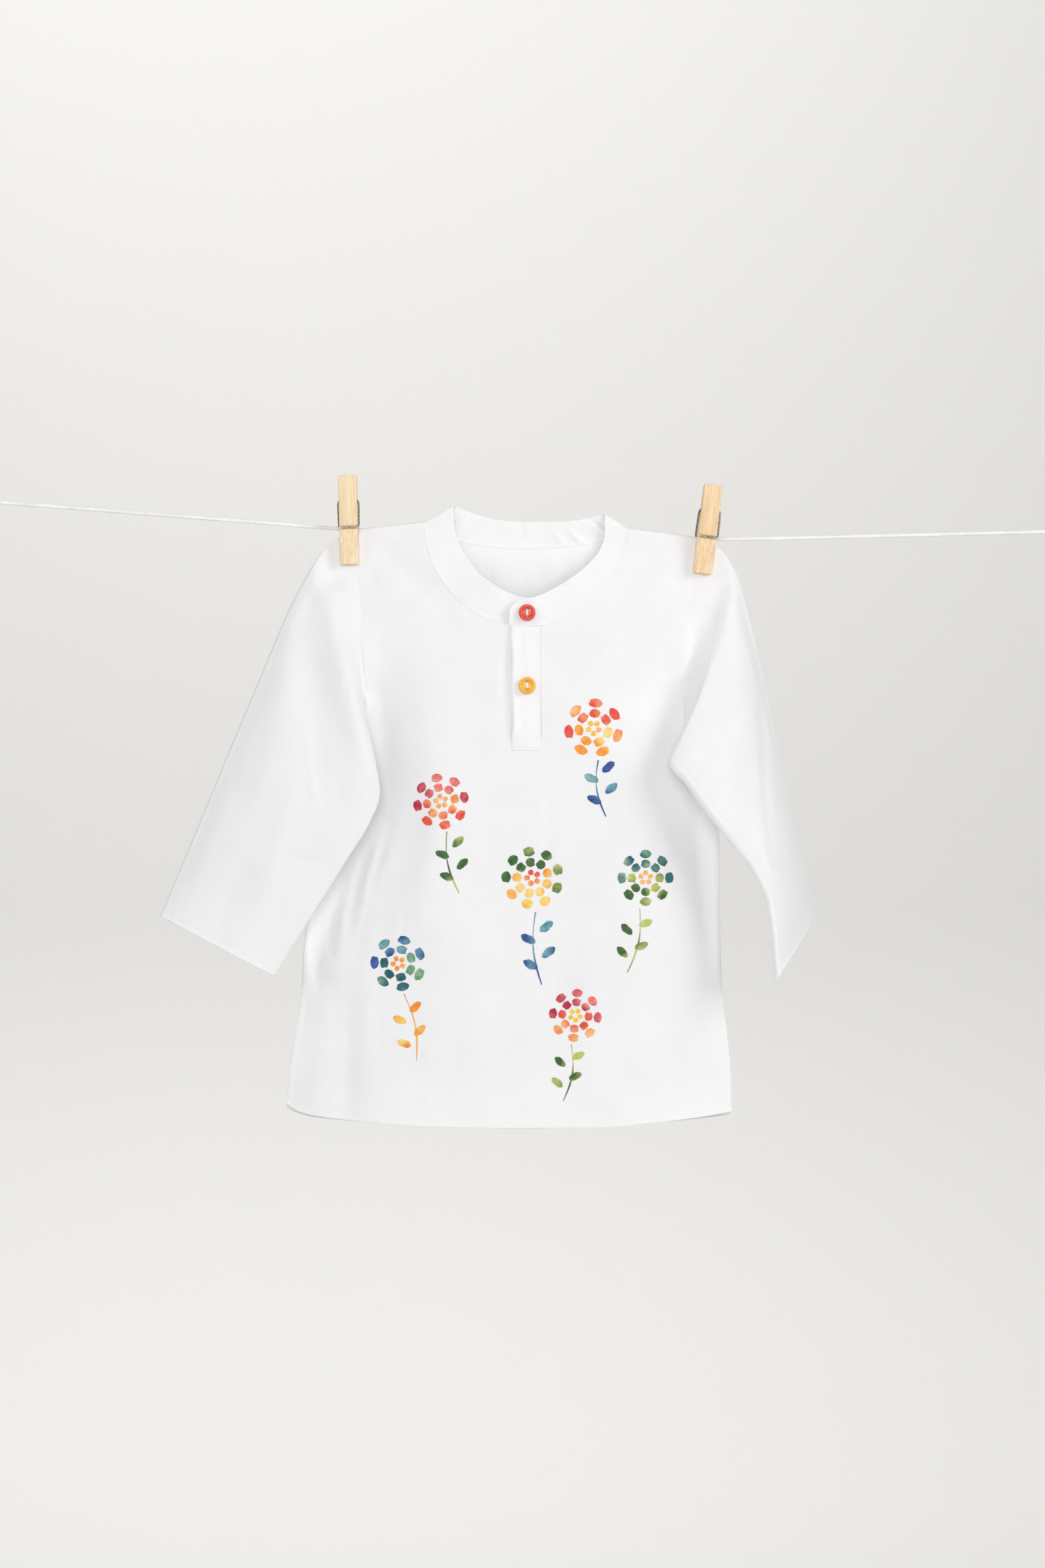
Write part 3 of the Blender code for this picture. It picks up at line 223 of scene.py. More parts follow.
SLEEVE_LEFT_ROWS = (
    (0.00, 111.7, 0.0, -1.8, 104.9, 0.0, -106.2, 1.3, 6.5, 5.0),
    (0.03, 118.0, 0.0, -3.6, 104.5, -2.0, -110.0, 1.6, 6.5, 4.0),
    (0.07, 127.8, 1.0, -9.6, 104.2, -8.5, -118.5, 2.2, 6.5, 4.0),
    (0.11, 137.4, 3.0, -23.0, 103.6, -17.5, -131.0, 2.8, 6.5, 4.5),
    (0.17, 146.0, 6.0, -50.0, 93.0, -29.0, -150.0, 3.0, 7.0, 6.0),
    (0.27, 153.0, 10.0, -78.0, 103.2, -35.0, -164.0, 3.2, 8.0, 7.0),
    (0.40, 160.4, 14.0, -112.0, 114.4, -39.0, -180.0, 3.4, 8.5, 7.5),
    (0.55, 168.6, 18.0, -152.0, 130.6, -41.0, -200.0, 3.4, 8.0, 7.0),
    (0.70, 177.0, 21.0, -192.0, 147.6, -41.5, -221.0, 3.2, 7.0, 6.5),
    (0.85, 184.8, 24.0, -225.0, 157.6, -41.0, -244.0, 3.0, 6.5, 6.0),
    (1.00, 191.4, 27.0, -254.0, 162.6, -40.0, -291.0, 2.8, 6.0, 6.0),
)
SLEEVE_RIGHT_FOLDS = (
    (-124, -32, -114, -70, -108, -103, -3.5, 8), (-117, -40, -110, -90, -106, -150, 2.6, 9),
    (-143, -34, -139, -100, -132, -175, -3.4, 13), (-160, -90, -176, -150, -205, -215, 1.6, 16),
)
SLEEVE_RIGHT_CREASES = (
    (-134, -40, -128, -100, -121, -160, -0.9, 8), (-168, -110, -182, -160, -214, -226, -0.8, 10),
    (-148, -150, -160, -196, -178, -250, 0.8, 7), (-146, -118, -142, -150, -137, -182, 0.7, 3),
    (-152, -60, -158, -100, -170, -140, 0.6, 6), (-122, -110, -118, -150, -126, -196, -0.6, 6),
    (-125, -206, -140, -214, -158, -212, -0.9, 4), (-122, -214, -134, -226, -146, -232, 0.7, 4),
    (-196, -168, -206, -205, -226, -246, 0.5, 6), (-150, -196, -168, -232, -190, -268, 0.7, 8),
    (-176, -190, -190, -228, -208, -262, -0.6, 7), (-104, -132, -110, -148, -118, -158, -0.7, 4),
)
SLEEVE_LEFT_FOLDS = (
    (129, -20, 121, -48, 106, -98, -7.0, 10), (139, -26, 140, -85, 143, -150, 3.0, 14),
    (150, -50, 155, -140, 160, -270, 1.4, 7),
)
SLEEVE_LEFT_CREASES = (
    (147, -48, 155, -118, 158, -190, -1.3, 3.5), (112, -118, 122, -128, 138, -160, 1.0, 5),
    (131, -34, 121, -64, 113, -103, -1.8, 6), (141, -40, 139, -88, 146, -140, 0.9, 8),
    (146, -170, 154, -205, 158, -262, 0.7, 4), (150, -103, 156, -171, 161, -270, -0.9, 3.5),
    (106, -130, 114, -134, 124, -133, 0.9, 3.5), (108, -140, 118, -146, 130, -148, -0.8, 4),
    (122, -176, 134, -190, 148, -200, -0.6, 4), (132, -60, 134, -100, 133, -128, 0.7, 4),
    (162, -150, 170, -200, 178, -240, 0.5, 5), (158, -226, 168, -240, 180, -246, -0.5, 5),
)
# Each peg's x, z, tilt in degrees, and how much longer its rear leg is.
PEGS = {
    "peg_left": (-117.0, 3.3, -1.4, 0.8),
    "peg_right": (118.6, -2.9, 7.4, 0.0),
}
LINE_COLUMNS = ("x", "depth", "z")
LINE_ROWS = (
    (-357.0, LINE_DEPTH, 21.9),
    (-240.0, LINE_DEPTH, 12.9),
    (-130.0, LINE_DEPTH, 4.3),
    (-117.0, LINE_DEPTH, 3.3),
    (-104.0, LINE_DEPTH + 0.2, 2.9),
    (-72.0, LINE_DEPTH_MIDDLE, 2.1),
    (0.0, LINE_DEPTH_MIDDLE, 0.0),
    (72.0, LINE_DEPTH_MIDDLE, -1.8),
    (106.0, LINE_DEPTH + 0.2, -2.7),
    (118.6, LINE_DEPTH, -2.9),
    (132.0, LINE_DEPTH, -2.9),
    (240.0, LINE_DEPTH, -0.8),
    (352.0, LINE_DEPTH, 2.0),
)
# Flower sprigs: the flower's x and z, the stem's foot, size, petals, turn, and the paints of the
# petals, the lower petals, the heart and the leaves.
SPRIGS = (
    (-56, -176, -44, -236, 18, 8, 10, "crimson", "coral", "yellow", "green"),
    (44, -128, 52, -186, 19, 7, 34, "coral", "orange", "yellow", "blue"),
    (78, -226, 66, -288, 18, 8, 0, "teal", "green", "yellow", "green"),
    (4, -226, 10, -296, 20, 9, 18, "green", "orange", "coral", "blue"),
    (-84, -282, -72, -346, 18, 7, 24, "blue", "teal", "orange", "orange"),
    (32, -316, 24, -372, 17, 8, 40, "crimson", "coral", "yellow", "green"),
)
# Paints: deep, bright, and the second colour they run into.
PAINTS = {
    "coral": ((0.66, 0.05, 0.035), (0.82, 0.12, 0.085), (0.90, 0.36, 0.03)),
    "orange": ((0.84, 0.22, 0.02), (0.90, 0.37, 0.06), (0.88, 0.58, 0.05)),
    "yellow": ((0.84, 0.46, 0.02), (0.90, 0.62, 0.07), (0.86, 0.32, 0.03)),
    "crimson": ((0.30, 0.01, 0.03), (0.52, 0.03, 0.075), (0.80, 0.12, 0.10)),
    "green": ((0.03, 0.085, 0.025), (0.075, 0.17, 0.05), (0.42, 0.50, 0.04)),
    "teal": ((0.01, 0.075, 0.09), (0.03, 0.15, 0.18), (0.08, 0.30, 0.10)),
    "blue": ((0.02, 0.05, 0.20), (0.05, 0.12, 0.38), (0.03, 0.26, 0.30)),
}


def joined(*parts):
    """Arrays or numbers side by side, as the last axis of one array."""
    return np.stack(np.broadcast_arrays(*parts), axis=-1)


def metres(points):
    return (np.asarray(points, float) + np.array([0.0, -LINE_BEHIND, 0.0])) * MM


def link(name, data, material=None):
    obj = bpy.data.objects.new(name, data)
    bpy.context.scene.collection.objects.link(obj)
    if material:
        data.materials.append(material)
    return obj


def stand_for(obj, node):
    """The piece rides on the tunic, in the place of one of the part's nodes."""
    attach(obj, "root")
    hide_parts(node)
    return obj


# ---------------------------------------------------------------- camera and lights


def make_camera():
    data = bpy.data.cameras.new("camera")
    data.lens, data.sensor_width = 85.0, 36.0
    data.clip_start, data.clip_end = 0.05, 30.0
    camera = link("camera", data)
    camera.location = Vector((-2.6, -2440.0 - LINE_BEHIND, -164.6)) * MM
    camera.rotation_euler = (math.pi / 2, 0.0, 0.0)
    bpy.context.scene.camera = camera


def area_light(name, at, target, size, watts, colour=(1.0, 0.99, 0.98), size_y=None, spread=180):
    data = bpy.data.lights.new(name, "AREA")
    data.shape = "RECTANGLE"
    data.size, data.size_y = size, size_y or size
    data.energy, data.color, data.spread = watts, colour, math.radians(spread)
    light = link(name, data)
    light.location = at
    light.rotation_euler = (Vector(target) - light.location).to_track_quat("-Z", "Y").to_euler()


def make_studio():
    """A pale sweep that is wall and floor in one, with room to walk round the tunic, and soft lights."""
    wall, wall_top, bend_top, radius, reach = 3.6, 4.4, -0.37, 0.92, 6.0
    profile = [(wall, wall_top)]
    for t in np.linspace(0, math.pi / 2, 28):
        profile.append((wall - radius * (1 - math.cos(t)), bend_top - radius * math.sin(t)))
    profile.append((-reach, bend_top - radius))
    count = len(profile)
    mesh = bpy.data.meshes.new("studio_sweep")
    mesh.from_pydata(
        [(x, y, z) for x in (-reach, reach) for y, z in profile],
        [],
        [(i, i + 1, count + i + 1, count + i) for i in range(count - 1)],
    )
    face_outwards(mesh)
    link("studio_sweep", mesh, plain("studio_paper", (0.80, 0.795, 0.775), 0.95))
    warm = (1.0, 0.985, 0.97)
    area_light("front_fill", (-0.1, -2.9, 0.35), (0, 0, -0.17), 1.3, 39)
    area_light("side_left", (-1.9, -1.35, 0.75), (0, 0, -0.15), 1.0, 10, warm, 1.4)
    area_light("side_right", (1.9, -1.15, 0.7), (0, 0, -0.15), 1.0, 24, warm, 1.4)
    area_light("top_soft", (-0.7, 0.0, 2.2), (0, 0, -0.1), 1.6, 5, size_y=0.8)
    area_light("back_fill", (0.8, 2.7, 1.0), (0, 0, -0.2), 1.0, 3.6, spread=60)
    area_light("wall_wash", (-0.7, 1.6, 3.45), (-0.1, 3.6, -0.1), 3.6, 52, (1.0, 0.99, 0.965), 1.2, 110)
    area_light("floor_wash", (-0.8, 1.6, 3.6), (-0.4, 3.0, -1.2), 2.1, 1.7, (1.0, 0.99, 0.97), 0.8, 45)
    world = bpy.data.worlds.new("studio_air")
    world.use_nodes = True
    sky = world.node_tree.nodes["Background"].inputs
    sky["Color"].default_value = (0.93, 0.95, 1.0, 1.0)
    sky["Strength"].default_value = 0.26
    bpy.context.scene.world = world
    # White cloth on a pale wall keeps its soft shading only on a straight tone curve.
    bpy.context.scene.view_settings.view_transform = "Standard"


# ---------------------------------------------------------------- materials


def plain(name, colour, roughness, metallic=0.0):
    made = bpy.data.materials.new(name)
    made.use_nodes = True
    shader = made.node_tree.nodes["Principled BSDF"].inputs
    shader["Base Color"].default_value = (*colour, 1.0)
    shader["Roughness"].default_value = roughness
    shader["Metallic"].default_value = metallic
    return made


class Look:
    """A material and short names for wiring its nodes."""

    def __init__(self, *settings):
        self.made = plain(*settings)
        self.nodes, self.links = self.made.node_tree.nodes, self.made.node_tree.links

    def wire(self, node, inputs):
        for key, value in inputs.items():
            if isinstance(value, bpy.types.NodeSocket):
                self.links.new(value, node.inputs[key])
            else:
                node.inputs[key].default_value = value

    def add(self, kind, inputs=None, **settings):
        node = self.nodes.new("ShaderNode" + kind)
        for key, value in settings.items():
            setattr(node, key, value)
        self.wire(node, inputs or {})
        return node

    def where(self, space="Object"):
        return self.add("TexCoord").outputs[space]

    def stretch(self, vector, *scale):
        return self.add("Mapping", {"Vector": vector, "Scale": scale}).outputs[0]

    def noise(self, vector, scale, detail, **more):
        inputs = {"Vector": vector, "Scale": scale, "Detail": detail, **more}
        return self.add("TexNoise", inputs).outputs["Fac"]

    def maths(self, operation, a, b):
        return self.add("Math", {0: a, 1: b}, operation=operation).outputs[0]

    def mix(self, a, share_a, b, share_b):
        return self.maths("ADD", self.maths("MULTIPLY", a, share_a), self.maths("MULTIPLY", b, share_b))

    def ramp(self, factor, *stops):
        node = self.add("ValToRGB", {"Fac": factor})
        ramp = node.color_ramp
        while len(ramp.elements) < len(stops):
            ramp.elements.new(0.5)
        for element, (place, colour) in zip(ramp.elements, stops):
            element.position, element.color = place, (*colour, 1.0)
        return node.outputs["Color"]

    def bump(self, height, strength, distance, **before):
        inputs = {"Height": height, "Strength": strength, "Distance": distance, **before}
        return self.add("Bump", inputs).outputs["Normal"]

    def finish(self, colour, normal=None, **more):
        """Wires the shader; names in more have a _ for a space."""
        inputs = {"Base Color": colour, **{key.replace("_", " "): value for key, value in more.items()}}
        if normal is not None:
            inputs["Normal"] = normal
        self.wire(self.nodes["Principled BSDF"], inputs)
        return self.made


def cotton(name, light=(0.90, 0.895, 0.905), shade=(0.85, 0.848, 0.87), crumple=0.35):
    """Plain-weave cotton. Its threads run along the cloth's own UV, which is in metres."""
    look = Look(name, light, 0.88)
    uv = look.where("UV")
    threads = []
    for turned, pitch in ((0.0, 0.00052), (math.pi / 2, 0.00058)):
        along = look.add("Mapping", {"Vector": uv, "Rotation": (0, 0, turned)}).outputs[0]
        slub = look.noise(look.stretch(along, 900.0, 60.0, 1.0), 1.0, 2.0)
        inputs = {"Vector": along, "Scale": 1.0 / pitch / math.pi, "Distortion": 0.6, "Detail": 1.0}
        wave = look.add("TexWave", inputs, bands_direction="X").outputs["Fac"]
        threads.append(look.maths("MULTIPLY", wave, look.maths("ADD", slub, 0.5)))
    weave = look.maths("MAXIMUM", *threads)
    wrinkle = look.noise(uv, 70.0, 5.0, Roughness=0.55, Distortion=0.6)
    streak = look.noise(look.stretch(uv, 230.0, 26.0, 1.0), 1.0, 3.0, Distortion=0.3)
    soft = look.noise(uv, 22.0, 3.0)
    colour = look.ramp(look.mix(weave, 0.25, soft, 0.75), (0.25, shade), (0.62, light))
    crumpled = look.bump(streak, crumple, 0.0003, Normal=look.bump(wrinkle, crumple, 0.0011))
    return look.finish(
        colour, look.bump(weave, 0.28, 0.00016, Normal=crumpled), Sheen_Weight=0.08, Sheen_Roughness=0.6,
        Specular_IOR_Level=0.25, Subsurface_Weight=0.25, Subsurface_Radius=(1.0, 1.0, 1.0),
        Subsurface_Scale=0.0012,
    )


def thread_cotton():
    look = Look("sewing_thread", (0.92, 0.915, 0.91), 0.75)
    twist = look.noise(look.where(), 4000.0, 2.0)
    colour = look.ramp(twist, (0.3, (0.87, 0.865, 0.86)), (0.7, (0.94, 0.935, 0.93)))
    return look.finish(colour, look.bump(twist, 0.4, 0.0001))


def fabric_paint(name, deep, bright, accent):
    """Block-print paint, thick and thin, that runs into a second colour in places."""
    look = Look(name, bright, 0.8)
    place = look.where()
    patch, fine = look.noise(place, 260.0, 4.0), look.noise(place, 1700.0, 2.0)
    both = look.mix(patch, 0.7, fine, 0.3)
    thick = look.ramp(both, (0.36, deep), (0.62, bright))
    pale = tuple(0.6 * value + 0.35 for value in accent)
    second = look.ramp(both, (0.36, accent), (0.72, pale))
    runs = look.ramp(look.noise(place, 44.0, 2.0), (0.46, (0, 0, 0)), (0.60, (1, 1, 1)))
    mixed = look.add("Mix", {0: runs, 6: thick, 7: second}, data_type="RGBA").outputs[2]
    return look.finish(mixed, look.bump(fine, 0.35, 0.0001))


def bamboo(name, pale, mid, dark):
    """Split bamboo with long fibres along the peg's length, which is its object's Z."""
    look = Look(name, mid, 0.55)
    place = look.where()
    fibre = look.noise(look.stretch(place, 1500.0, 1500.0, 28.0), 1.0, 4.0, Roughness=0.6)
    band = look.noise(look.stretch(place, 420.0, 420.0, 16.0), 1.0, 2.0)
    colour = look.ramp(look.mix(fibre, 0.6, band, 0.4), (0.33, dark), (0.47, mid), (0.62, pale))
    return look.finish(colour, look.bump(fibre, 0.35, 0.0003))


def spring_steel(name):
    look = Look(name, (0.36, 0.33, 0.29), 0.38, 1.0)
    worn = look.noise(look.where(), 900.0, 4.0)
    colour = look.ramp(worn, (0.35, (0.20, 0.17, 0.14)), (0.6, (0.46, 0.43, 0.39)))
    return look.finish(colour, Roughness=look.maths("ADD", look.maths("MULTIPLY", worn, 0.3), 0.25))


def cord_cotton():
    look = Look("cord_cotton", (0.80, 0.79, 0.76), 0.9)
    place = look.where()
    fibre, dust = look.noise(place, 1500.0, 4.0), look.noise(place, 60.0, 3.0)
    both = look.mix(fibre, 0.5, dust, 0.5)
    colour = look.ramp(both, (0.35, (0.78, 0.77, 0.74)), (0.6, (0.93, 0.925, 0.905)))
    return look.finish(colour, look.bump(fibre, 0.5, 0.0003))


def button_plastic(name, body_colour, edge):
    look = Look(name, body_colour, 0.32)
    place = look.where()
    cloud = look.noise(place, 240.0, 3.0, Distortion=1.5)
    colour = look.ramp(cloud, (0.3, edge), (0.65, body_colour))
    scratch = look.noise(place, 2500.0, 2.0)
    rough = look.maths("ADD", look.maths("MULTIPLY", scratch, 0.16), 0.24)
    return look.finish(colour, look.bump(cloud, 0.08, 0.0003), Roughness=rough)


# ---------------------------------------------------------------- the part's own forms


def smoothstep(x):
    x = np.clip(x, 0.0, 1.0)
    return x * x * (3.0 - 2.0 * x)


def bell(x):
    return np.exp(-(x**2))


def read(columns, rows, key, at):
    """A column of a table at places along its first column, on a smooth curve that never overshoots."""
    table = np.array(rows, float)
    order = np.argsort(table[:, 0])
    places, values = table[order, 0], table[order, columns.index(key)]
    steps = np.diff(places)
    slopes = np.diff(values) / steps
    product, total = slopes[1:] * slopes[:-1], slopes[1:] + slopes[:-1]
    inner = np.where(product > 0, 2 * product / np.where(product > 0, total, 1.0), 0.0)
    tangents = np.concatenate([slopes[:1], inner, slopes[-1:]])
    i = np.clip(np.searchsorted(places, at, side="right") - 1, 0, len(steps) - 1)
    t = np.clip((at - places[i]) / steps[i], 0.0, 1.0)
    rise = values[i + 1] - values[i]
    start, end = tangents[i] * steps[i], tangents[i + 1] * steps[i]
    return values[i] + t * (start + t * (3 * rise - 2 * start - end + t * (start + end - 2 * rise)))


def body(key, z):
    return read(BODY_COLUMNS, BODY_SECTIONS, key, z)


def half_width(share, z):
    centre = body("centre", z)
    return np.where(share < 0, centre - body("left", z), body("right", z) - centre)


def across(x, z):
    """-1 at the panel's left edge, 0 on its middle line and 1 at its right edge."""
    from_centre = x - body("centre", z)
    return from_centre / half_width(from_centre, z)


def along_width(share, z):
    return body("centre", z) + share * half_width(share, z)


def fold_relief(folds, x, z, ends=0.08, power=0.7):
    """Height of the soft folds at places on the cloth. The lower ends is, the more they fade out there."""
    relief = np.zeros_like(x)
    steps = np.linspace(0.0, 1.0, FOLD_STEPS + 1)
    bends = [(1 - steps) ** 2, 2 * steps * (1 - steps), steps**2]
    for x1, z1, x2, z2, x3, z3, height, half in folds:
        line_x = bends[0] * x1 + bends[1] * (2 * x2 - (x1 + x3) / 2) + bends[2] * x3
        line_z = bends[0] * z1 + bends[1] * (2 * z2 - (z1 + z3) / 2) + bends[2] * z3
        near = (x > line_x.min() - 3 * half) & (x < line_x.max() + 3 * half)
        near &= (z > line_z.min() - 3 * half) & (z < line_z.max() + 3 * half)
        if not near.any():
            continue
        least = np.full(near.sum(), 1e9)
        place = np.zeros(near.sum())
        px, pz = x[near], z[near]
        for i in range(FOLD_STEPS):
            ax, az = line_x[i], line_z[i]
            bx, bz = line_x[i + 1] - ax, line_z[i + 1] - az
            t = np.clip(((px - ax) * bx + (pz - az) * bz) / (bx * bx + bz * bz), 0.0, 1.0)
            away = np.hypot(px - ax - t * bx, pz - az - t * bz)
            nearer = away < least
            least = np.where(nearer, away, least)
            place = np.where(nearer, (i + t) / FOLD_STEPS, place)
        taper = np.sin(np.pi * (ends + (1.0 - 2.0 * ends) * place)) ** power
        relief[near] += height * taper * bell(least / half)
    return relief


def crease_relief(creases, x, z):
    """The finer creases, which fade out at both ends."""
    return fold_relief(creases, x, z, ends=0.02, power=1.0)


def ripple(x, z, seed):
    """The faint unevenness of washed and ironed cotton."""
    total = np.zeros_like(x)
    for i in range(7):
        turn = seed + 2.4 * i
        pitch = 26.0 + 11.0 * ((i * 5) % 7)
        run = (x * math.cos(turn) + z * math.sin(turn)) / pitch * 2 * math.pi
        sway = 1.3 * np.sin((z * math.cos(turn) - x * math.sin(turn)) / (pitch * 1.7) + turn)
        total += np.sin(run + sway + seed * i) * (0.05 + 0.02 * (i % 3))
    return total


def pinched(x, y, z):
    """Depths with the cloth pressed flat in the pegs' jaws, easing out around them."""
    held = np.zeros_like(x)
    for peg_x, peg_z, tilt, _ in PEGS.values():
        lean = math.radians(tilt)
        beside = np.abs((x - peg_x) * math.cos(lean) - (z - peg_z) * math.sin(lean))
        above = (z - peg_z) * math.cos(lean) + (x - peg_x) * math.sin(lean)
        outside = np.hypot(
            np.maximum(beside - PINCH_HALF_WIDTH, 0.0),
            np.maximum(-above - PEG_LENGTH_DOWN - PINCH_BELOW, 0.0),
        )
        held = np.maximum(held, 1.0 - smoothstep(outside / PINCH_FADE))
    flat = np.clip(y, -SEAM_HALF, SEAM_HALF)
    return y + (flat - y) * held


def shoulder_height(x):
    tips = np.where(x < 0, SHOULDER_TIP_LEFT[1], SHOULDER_TIP_RIGHT[1])
    points = np.where(x < 0, NECK_POINT_HEIGHTS[0], NECK_POINT_HEIGHTS[1])
    reach = (np.abs(x) - NECK_HALF_WIDTH) / (SHOULDER_TIP_RIGHT[0] - NECK_HALF_WIDTH)
    return points + (tips - points) * np.clip(reach, 0.0, 1.0)


def neck_height(x, lowest):
    top = np.where(x < 0, NECK_POINT_HEIGHTS[0], NECK_POINT_HEIGHTS[1])
    inside = np.sqrt(np.clip(1.0 - (x / NECK_HALF_WIDTH) ** 2, 0.0, 1.0))
    return np.where(np.abs(x) < NECK_HALF_WIDTH, top - (top - lowest) * inside, shoulder_height(x))


def hem_height(share, drop):
    return HEM_MIDDLE - drop + read(HEM_COLUMNS, HEM_ROWS, "rise", share)


def panel_place(share, down, lowest, drop):
    x = along_width(share, np.full_like(share, -20.0))
    for _ in range(6):
        top = neck_height(x, lowest)
        x = along_width(share, top)
    z = top + (hem_height(share, drop) - top) * down
    return along_width(share, z), z


def base_depth(side, x, z):
    """The panel's outer face as the part has it. side is -1 for the front and 1 for the back."""
    which = "front" if side < 0 else "back"
    share = np.clip(np.abs(across(x, z)), 0.0, 1.0)
    edge, mid = body(f"edge_{which}", z), body(f"mid_{which}", z)
    fade = smoothstep((1.0 - share) / 0.12)
    if side > 0:
        fade = fade * smoothstep((-20.0 - z) / 40.0)
    depth = edge + (mid - edge) * (1.0 - share**3)
    depth += fade * fold_relief(FRONT_FOLDS if side < 0 else BACK_FOLDS, x, z)
    return pinched(x, side * np.maximum(depth, SEAM_HALF), z)


def turned_edge(from_edge):
    """A turned and stitched edge: a doubled band with a groove along its stitches."""
    return 0.35 * smoothstep((HEM_TURN - from_edge) / 0.7) - 0.3 * bell((from_edge - STITCH_IN) / 0.5)


def puckers(from_edge, run):
    """The small slanting puckers of a narrow hem."""
    slant = run * 1.12 + from_edge * 0.5 + 1.5 * np.sin(run / 9.0)
    near = smoothstep((HEM_TURN + 1.2 - from_edge) / 1.6)
    return 0.13 * np.sin(slant) * (0.7 + 0.3 * np.sin(run / 17.0)) * near


def cloth_depth(side, x, z):
    """The outer face with the finer creases, turned edges and sewn edges."""
    creases, drop, seed = (FRONT_CREASES, 0.0, 1.0) if side < 0 else (BACK_CREASES, BACK_HEM_DROP, 4.0)
    share = across(x, z)
    from_side = (1.0 - np.abs(share)) * half_width(share, z)
    from_hem = z - hem_height(share, drop)
    from_top = np.where(np.abs(x) > NECK_HALF_WIDTH, shoulder_height(x) - z, FAR)
    open_side = smoothstep((SIDE_SLIT_TOP + 6.0 - z) / 10.0)
    calm = smoothstep(from_side / 12.0) * smoothstep((from_top + 2.0) / 26.0)
    relief = calm * (crease_relief(creases, x, z) + 1.2 * ripple(x, z, seed))
    relief += turned_edge(from_hem) + puckers(from_hem, x)
    above_hem = smoothstep((from_hem - HEM_TURN + 1.0) / 2.0)
    relief += open_side * (turned_edge(from_side) + puckers(from_side, z)) * above_hem
    relief += 0.3 * smoothstep((11.5 - from_top) / 0.8) - 0.3 * bell((from_top - SHOULDER_STITCH) / 0.6)
    relief += 0.4 * (bell((np.abs(from_side) - 2.0) / 3.0) * bell((z - SIDE_SLIT_TOP) / 4.0))
    relief -= smoothstep((z - ARMPIT_HEIGHT - 1.0) / 7.0) * 0.1 * bell(from_side / 0.9)
    wave = open_side * bell(from_side / 14.0) * 1.1 * np.sin((z + 300.0) / 11.0 + side)
    depth = np.abs(base_depth(side, x, z)) + relief + wave * smoothstep((SIDE_SLIT_TOP - z) / 30.0)
    depth = np.maximum(depth, 0.9)
    # The edge closes down to the seam at the side and the shoulder, but stays open where a sleeve is sewn in.
    above_armpit = np.maximum(z - ARMPIT_HEIGHT + 2.2, 0.0)
    sewn = np.minimum(from_side + FAR * open_side + 1.85 * above_armpit, from_top)
    rounding = np.sqrt(1.0 - (1.0 - np.clip(sewn / 2.4, 0.0, 1.0)) ** 2)
    return side * (0.35 + (depth - 0.35) * rounding)


# ---------------------------------------------------------------- building meshes


def upright(side):
    """A panel's way out, for grid_object."""
    return lambda spots: np.tile([0.0, float(side), 0.0], (len(spots), 1))


def lengths_along(path):
    """How far along a path of points each point lies."""
    return np.concatenate([[0.0], np.cumsum(np.linalg.norm(np.diff(path, axis=0), axis=1))])


def index_at(value, values):
    """Where a value falls among rising values, counted in their steps."""
    return np.interp(value, values, np.arange(len(values)))


def face_outwards(mesh, merge=0.0):
    """Turns the faces outwards, once corners nearer than merge are one."""
    work = bmesh.new()
    work.from_mesh(mesh)
    if merge:
        bmesh.ops.remove_doubles(work, verts=work.verts, dist=merge)
    bmesh.ops.recalc_face_normals(work, faces=work.faces)
    work.to_mesh(mesh)
    work.free()
    mesh.shade_smooth()


def solid_object(name, points, faces, material):
    mesh = bpy.data.meshes.new(name)
    mesh.from_pydata(metres(points).tolist(), [], faces)
    face_outwards(mesh)
    return link(name, mesh, material)


def skin(rings, sides, first=0, closed=False):
    """Faces over rings of points numbered from first, capped unless the last ring meets the first."""
    ring = [[first + i * sides + k for k in range(sides)] for i in range(rings)]
    faces = []
    for here, there in zip(ring, ring[1:] + ring[:1] * closed):
        faces += [(here[k - 1], here[k], there[k], there[k - 1]) for k in (*range(1, sides), 0)]
    if not closed:
        faces += [tuple(ring[0][::-1]), tuple(ring[-1])]
    return faces


def grid_object(name, points, uv, outward, material, closed=False, keep=None):
    """A smooth sheet through rows and columns of points; outward(points) says which way is out."""
    rows, columns = points.shape[:2]
    number = np.arange(rows * columns).reshape(rows, columns)
    if closed:
        number = np.concatenate([number, number[:, :1]], axis=1)
    faces, loop_uv = (
        np.stack([grid[:-1, :-1], grid[:-1, 1:], grid[1:, 1:], grid[1:, :-1]], axis=2)
        for grid in (number, uv * MM)
    )
    if keep is not None:
        faces, loop_uv = faces[keep], loop_uv[keep]
    faces, loop_uv = faces.reshape(-1, 4), loop_uv.reshape(-1, 4, 2)
    flat = points.reshape(-1, 3)
    corners = flat[faces]
    normal = np.cross(corners[:, 2] - corners[:, 0], corners[:, 3] - corners[:, 1])
    if (normal * outward(corners.mean(axis=1))).sum() < 0:
        faces, loop_uv = faces[:, ::-1], loop_uv[:, ::-1]
    used = np.unique(faces)
    renumber = np.zeros(len(flat), int)
    renumber[used] = np.arange(len(used))
    mesh = bpy.data.meshes.new(name)
    mesh.from_pydata(metres(flat[used]).tolist(), [], renumber[faces].tolist())
    layer = mesh.uv_layers.new(name="UVMap")
    layer.data.foreach_set("uv", loop_uv.reshape(-1, 2).astype(np.float32).ravel())
    mesh.shade_smooth()
    mesh.update()
    return link(name, mesh, material)


